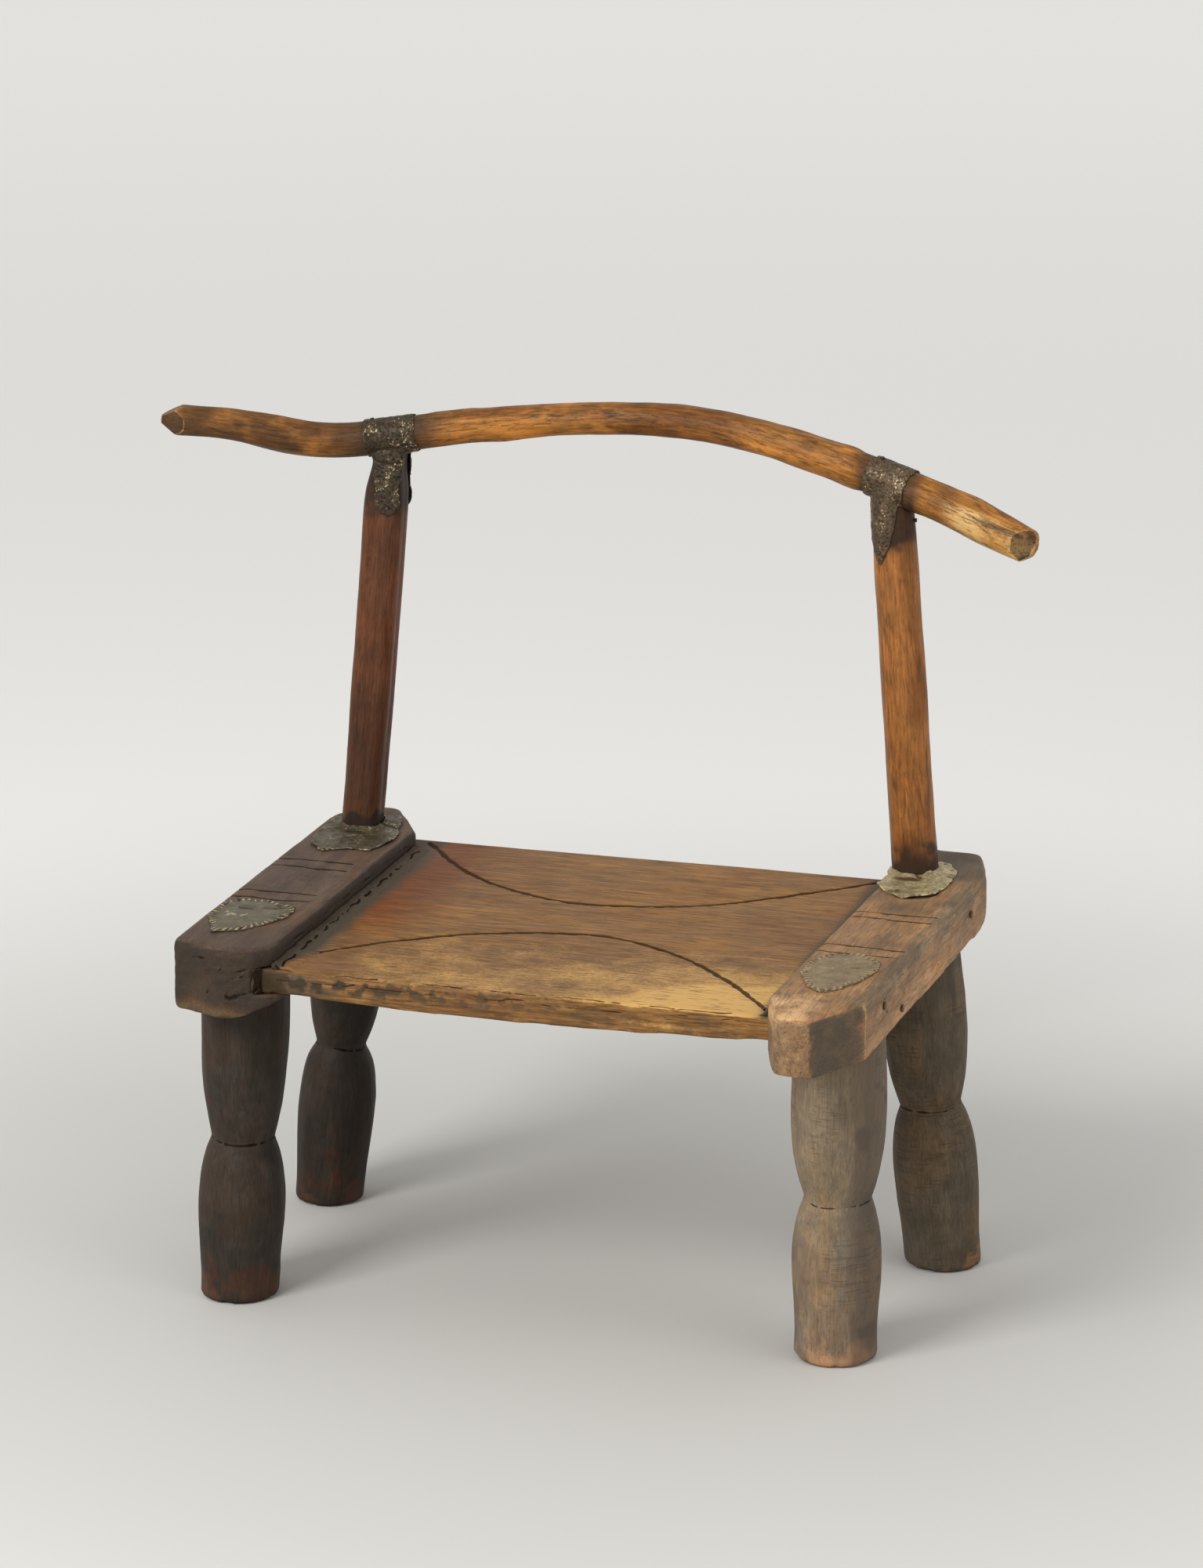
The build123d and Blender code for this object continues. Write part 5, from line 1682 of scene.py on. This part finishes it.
@dataclass
class MetalWork:
    """Straps, patches and collars."""

    back: Back
    old_iron: SheetFinish = SheetFinish(
        name="strap_metal", dark=(0.024, 0.018, 0.011), mid=(0.062, 0.043, 0.023), bright=(0.175, 0.140, 0.080),
        dirt=(0.028, 0.016, 0.009), metallic=0.25, polish=0.44, speckle=0.7, painted_glints=1.0, shift=0.4,
    )
    warm_iron: SheetFinish = SheetFinish(
        name="right_strap_metal", dark=(0.046, 0.031, 0.017), mid=(0.100, 0.066, 0.036), bright=(0.21, 0.165, 0.095),
        dirt=(0.044, 0.022, 0.012), metallic=0.25, polish=0.44, speckle=0.7, painted_glints=0.7, shift=1.4,
    )
    tin: SheetFinish = SheetFinish(
        name="patch_tin", dark=(0.080, 0.065, 0.040), mid=(0.138, 0.117, 0.072), bright=(0.42, 0.34, 0.20),
        dirt=(0.060, 0.040, 0.024), metallic=0.3, polish=0.46, dents=150.0, hammer=0.25, shift=2.4,
    )
    pale_tin: SheetFinish = SheetFinish(
        name="right_patch_tin", dark=(0.165, 0.118, 0.064), mid=(0.255, 0.190, 0.102), bright=(0.50, 0.385, 0.22),
        dirt=(0.12, 0.078, 0.042), metallic=0.25, polish=0.5, speckle=0.55, dents=150.0, hammer=0.2, shift=3.4,
    )
    dark_collar: SheetFinish = SheetFinish(
        name="collar_metal", dark=(0.045, 0.035, 0.020), mid=(0.098, 0.077, 0.042), bright=(0.30, 0.26, 0.18),
        dirt=(0.030, 0.022, 0.013), metallic=0.25, polish=0.42, speckle=0.8, painted_glints=0.5, dents=180.0, hammer=0.3,
        shift=4.4,
    )
    yellow_collar: SheetFinish = SheetFinish(
        name="right_collar_metal", dark=(0.21, 0.165, 0.080), mid=(0.42, 0.345, 0.19), bright=(0.68, 0.58, 0.34),
        dirt=(0.085, 0.040, 0.018), metallic=0.2, polish=0.42, dents=180.0, hammer=0.3, shift=5.4,
    )
    # Creases of the left strap: (x, y, z) in metres.
    left_folds: tuple[tuple[Triple, ...], ...] = (
        ((-0.1585, 0.117, 0.5358), (-0.1508, 0.117, 0.5375), (-0.1432, 0.117, 0.5377), (-0.1375, 0.117, 0.5372)),
        ((-0.1620, 0.117, 0.5287), (-0.1548, 0.117, 0.5270), (-0.1473, 0.117, 0.5272), (-0.1393, 0.117, 0.5288)),
    )

    def build(self) -> None:
        """Make and dress them."""
        left, right = self.back.left, self.back.right
        left_bones = (Shaft(moved(left.head, -30, -4, 12), moved(left.head, 30, 3, 6)), left)
        right_bones = (Shaft(moved(right.head, -30, 3, 4), moved(right.head, 30, -4, -6)), right)
        hammered = {"dent": 2.9 * MM, "depth": 0.55 * MM, "crumple": 0.4 * MM, "notches": 0.7 * MM}
        folded = {**hammered, "folds": self.left_folds, "blunt": 20 * MM}
        flat = {"dent": 8 * MM, "depth": 0.35 * MM, "crumple": 0.35 * MM, "notches": 1.2 * MM}
        flat |= {"voxel": 0.5 * MM, "teeth": 4.6 * MM}
        foil = {"dent": 9 * MM, "depth": 0.6 * MM, "crumple": 1.6 * MM, "notches": 1.4 * MM, "squash": 0.82}
        Sheet("left_saddle_strap", "strap_metal", left_bones, self.old_iron, 161, **folded).build()
        Sheet("right_saddle_strap", "strap_metal", right_bones, self.warm_iron, 171, **hammered).build()
        Sheet("front_left_patch", "patch_tin", (), self.tin, 181, **flat).build()
        Sheet("front_right_patch", "patch_tin", (), self.pale_tin, 191, **flat).build()
        Sheet("rear_left_collar", "collar_metal", (), self.dark_collar, 201, **foil, centre=left.foot).build()
        Sheet("rear_right_collar", "collar_metal", (), self.yellow_collar, 211, **foil, centre=right.foot).build()


# ---------------------------------------------------------------- tacks and pitch


@dataclass
class Tacks:
    """The tacks and nails: uneven, hammered heads, each group as one piece."""

    dull: SheetFinish = SheetFinish(
        "tack_iron", (0.035, 0.026, 0.02), (0.075, 0.060, 0.045), (0.17, 0.14, 0.11), (0.03, 0.02, 0.015)
    )
    tin: SheetFinish = SheetFinish(
        "tin_tack_iron", (0.06, 0.048, 0.032), (0.13, 0.105, 0.072), (0.24, 0.20, 0.14), (0.04, 0.03, 0.02)
    )
    pale: SheetFinish = SheetFinish(
        "pale_tack_iron", (0.14, 0.105, 0.065), (0.23, 0.175, 0.11), (0.36, 0.29, 0.19), (0.09, 0.06, 0.04)
    )
    brown: SheetFinish = SheetFinish(
        "brown_nail_iron", (0.06, 0.036, 0.024), (0.12, 0.075, 0.05), (0.26, 0.20, 0.15), (0.04, 0.025, 0.018)
    )
    voxel: float = 0.32 * MM
    unevenness: float = 0.16 * MM

    def group(self, name: str, finish: SheetFinish, seed: int) -> None:
        """Make and dress the tacks of one sheet.

        Args:
            name: the new piece's name, also its CAD node's.
            finish: its metal.
            seed: for its unevenness.
        """
        tacks = Worked(name, name, self.voxel, 1, seed)
        tacks.push(self.unevenness * tacks.noise(0, 0.0022, 2))
        fields = painted(
            raised=tacks.convexity(5) / 0.00018,
            stain=0.5 * step_up(tacks.noise(1, 0.02, 1), -0.2, 0.7),
        )
        tacks.finish(finish, "tack_iron", tacks.points, **fields)

    def build(self) -> None:
        """Make and dress every group."""
        self.group("left_strap_tacks", self.dull, 221)
        self.group("right_strap_tacks", self.dull, 224)
        self.group("front_left_patch_tacks", self.tin, 227)
        self.group("rear_left_collar_tacks", self.tin, 230)
        self.group("right_rail_nails", self.brown, 233)
        self.group("front_right_patch_tacks", self.pale, 241)
        self.group("rear_right_collar_tacks", self.pale, 244)


@dataclass
class Seam:
    """Pitch pressed into the seam between seat and rail, thinning out over the seat."""

    name: str
    place: Ground
    seat: Seat
    seed: int
    dashes: tuple[tuple[float, float], ...]  # from, to along the rail in millimetres where it has come loose
    side: float  # across the rail, in millimetres, where those dashes lie
    fade: tuple[float, float]  # distances from the rail, in metres, over which it sinks into the plank
    cracks: tuple[tuple[Triple, ...], ...] = ()
    voxel: float = 0.7 * MM
    lumps: float = 0.55 * MM
    plug_lumps: float = 0.7 * MM  # in the left groove's open end
    proud: float = 1.2 * MM  # where the dashes are laid, above the plank's top
    shallow: float = 0.6 * MM  # below the plank's top, from where up the pitch thins out
    sunk: float = 0.9 * MM  # how far below it the thin edge goes

    def lines(self) -> list[Line]:
        """The loose dashes and the cracks.

        Returns:
            The lines.
        """
        made, up = [], (SEAT_TOP - RAIL_TOP + self.proud) / MM
        for number, (start, end) in enumerate(self.dashes):
            knots = []
            for _, along in between(start, end, 5):
                knots.append(self.place.world(self.side + 0.9 * math.sin(along * 0.33 + number), along, up))
            made.append(Line.through(knots, 0.55 * MM, 0.8 * MM))
        return made + [Line.through(knots, 1.0 * MM, 2.0 * MM) for knots in self.cracks]

    def build(self) -> None:
        """Make and dress the seam."""
        seam = Worked(self.name, self.name, self.voxel, 1, self.seed)
        top = step_up(seam.normals()[:, 2], 0.2, 0.7)
        seam.push(top * self.lumps * seam.noise(0, 0.009, 3, (1, 0.5, 1)))
        out = np.abs(self.place.local(seam.points)[0]) - self.place.half
        sink = step_up(out + 0.0022 * seam.noise(2, 0.012, 3, (1, 0.6, 0)), *self.fade)
        height = seam.points[:, 2].copy()
        lowered = np.minimum(height, height + (SEAT_TOP - self.sunk - height) * sink)
        seam.points[:, 2] = np.where(height > SEAT_TOP - self.shallow, lowered, height)
        lines = seam.settle(self.lines())
        seam.refine(lines, 1.6 * MM, 1)
        seam.carve(lines, 1, 0.6)
        across, along, _ = self.place.local(seam.points)
        out = np.abs(across) - self.place.half
        dark, red = self.seat.film(seam.points)
        plug = step_up(-along, 0.1600, 0.1620)
        lumps = seam.noise(3, 0.006, 3)
        seam.push(plug * self.plug_lumps * lumps)
        shade = (1 - step_up(out + 0.0012 * lumps, 0.0030, 0.0052)) * (0.38 + 0.08 * lumps)
        # Painted shade: the plug's side facing the plank is darkened nearly black, as the deep crack there would be.
        painted_crack_shade = plug * step_up(seam.normals()[:, 0], 0.25, 0.6)
        seam.fields["cut"] = most(seam.fields["cut"], shade * (1 - plug) + 0.42 * plug, painted_crack_shade)
        fields = painted(stain=most(dark, 1 - step_up(out, 0.004, 0.007), plug * (0.9 + 0.2 * lumps)), tinge=red)
        across, along, height = PLANK.local(seam.points)
        finish = replace(self.seat.finish, name=f"{self.name}_pitch", blotches=1.1, polish=0.56, groove=0.05)
        seam.finish(finish, "pitch", np.stack([along, height, across], axis=1), **fields)


@dataclass
class Pitch:
    """The pitch along both of the plank's ends."""

    seat: Seat
    # Loose dashes along each seam: from and to, in millimetres.
    left_dashes: tuple[tuple[float, float], ...] = (
        (118, 99), (95, 78), (75, 56), (52, 30), (26, 2), (-4, -32), (-38, -62), (-68, -95), (-100, -124), (-128, -156),
    )
    right_dashes: tuple[tuple[float, float], ...] = ((128, 96), (84, 70), (52, 10), (-6, -40), (-62, -84), (-100, -130))
    plug_crack: tuple[Triple, ...] = ((-0.1395, -0.169, 0.2366), (-0.1420, -0.169, 0.2352), (-0.1445, -0.169, 0.2344))

    def build(self) -> None:
        """Make and dress both seams."""
        left, right = "left_seam_filler", "right_seam_filler"
        Seam(left, LEFT, self.seat, 251, self.left_dashes, 40.6, (0.009, 0.0165), (self.plug_crack,)).build()
        Seam(right, RIGHT, self.seat, 261, self.right_dashes, -34.0, (0.0035, 0.0065)).build()


# ---------------------------------------------------------------- studio


class Tone(Enum):
    """Plain tones of the studio."""

    FLOOR = (0.555, 0.542, 0.512)
    FAR = (0.79, 0.78, 0.75)
    FURTHER = (0.94, 0.93, 0.895)
    BACKDROP = (0.75, 0.745, 0.715)
    LIT_BY = (0.80, 0.80, 0.80)


@dataclass(frozen=True)
class Lamp:
    """A square soft lamp."""

    name: str
    place: Triple  # in metres
    size: float  # side in metres
    watts: float

    def hang(self, aim: Triple) -> None:
        """Make it and point it.

        Args:
            aim: what it points at, in metres.
        """
        light = bpy.data.lights.new(self.name, "AREA")
        light.shape = "SQUARE"
        light.size = self.size
        light.energy = self.watts
        lamp = bpy.data.objects.new(self.name, light)
        lamp.location = self.place
        lamp.rotation_euler = (Vector(aim) - Vector(self.place)).to_track_quat("-Z", "Y").to_euler()
        bpy.context.scene.collection.objects.link(lamp)


@dataclass
class Studio:
    """Pale floor, soft lamps and the camera."""

    floor_radius: float = 14.0
    floor_sides: int = 96
    floor_drop: float = 0.4 * MM  # below the feet
    eye: Triple = (1.04355, -3.1035, 1.2606)
    right: Triple = (0.9515, 0.3076, 0.0)
    up: Triple = (-0.0830, 0.2568, 0.9629)
    back: Triple = (0.2962, -0.9162, 0.2699)
    lens: float = 117.0
    film_height: float = 36.0
    lamps: tuple[Lamp, ...] = (Lamp("key", (-1.15, -2.3, 2.05), 1.2, 62.0), Lamp("fill", (2.4, -0.8, 1.9), 1.6, 12.0))
    aim: Triple = (0.03, 0.0, 0.3)  # what the lamps point at

    def floor(self) -> None:
        """A pale round floor that keeps the chair's soft shadow."""
        mesh = bpy.data.meshes.new("floor")
        turns = [2 * math.pi * side / self.floor_sides for side in range(self.floor_sides)]
        ring = [(self.floor_radius * math.cos(t), self.floor_radius * math.sin(t), -self.floor_drop) for t in turns]
        mesh.from_pydata(ring, [], [tuple(range(self.floor_sides))])
        floor = bpy.data.objects.new("floor", mesh)
        bpy.context.scene.collection.objects.link(floor)
        g = Graph(bpy.data.materials.new("floor_paint"))
        where = g.node("ShaderNodeNewGeometry", {}, {}, "Position")
        away = g.node("ShaderNodeVectorMath", {"operation": "LENGTH"}, {0: where}, "Value")
        colour = g.blend(away.over(0.35, 1.3), Tone.FLOOR.value, Tone.FAR.value)
        g.surface(g.blend(away.over(1.5, 7.0), colour, Tone.FURTHER.value), 0.85, 0.1)
        mesh.materials.append(g.owner)

    def world(self) -> None:
        """Soft light from all round, and a pale backdrop where the camera sees past the floor."""
        g = Graph(bpy.data.worlds.new("studio"))
        bpy.context.scene.world = g.owner
        camera, gloss, glass = (
            g.node("ShaderNodeLightPath", {}, {}, f"Is {kind} Ray") for kind in ("Camera", "Glossy", "Transmission")
        )
        lit, shown = (
            g.node("ShaderNodeBackground", {}, {"Color": (*tone.value, 1.0), "Strength": 1.0})
            for tone in (Tone.LIT_BY, Tone.BACKDROP)
        )
        mix = g.node("ShaderNodeMixShader", {}, {0: (camera + gloss + glass).clamped(), 1: lit, 2: shown})
        g.node("ShaderNodeOutputWorld", {}, {"Surface": mix})

    def camera(self) -> None:
        """The camera."""
        data = bpy.data.cameras.new("camera")
        data.lens = self.lens
        data.sensor_fit = "VERTICAL"
        data.sensor_height = self.film_height
        camera = bpy.data.objects.new("camera", data)
        columns = Matrix((self.right, self.up, self.back)).transposed()
        camera.matrix_world = Matrix.Translation(self.eye) @ columns.to_4x4()
        bpy.context.scene.collection.objects.link(camera)
        bpy.context.scene.camera = camera

    def build(self) -> None:
        """Set everything up."""
        self.floor()
        self.world()
        for lamp in self.lamps:
            lamp.hang(self.aim)
        self.camera()
        bpy.context.scene.view_settings.view_transform = "Standard"


def main() -> None:
    """Build the chair piece by piece, then the studio."""
    logging.basicConfig(level=logging.INFO, format="%(name)s %(message)s")
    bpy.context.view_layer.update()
    seat, back = Seat(), Back()
    for part in (seat, LeftRail(), RightRail(), LegSet(), back, MetalWork(back), Tacks(), Pitch(seat), Studio()):
        part.build()


if __name__ == "__main__":
    main()
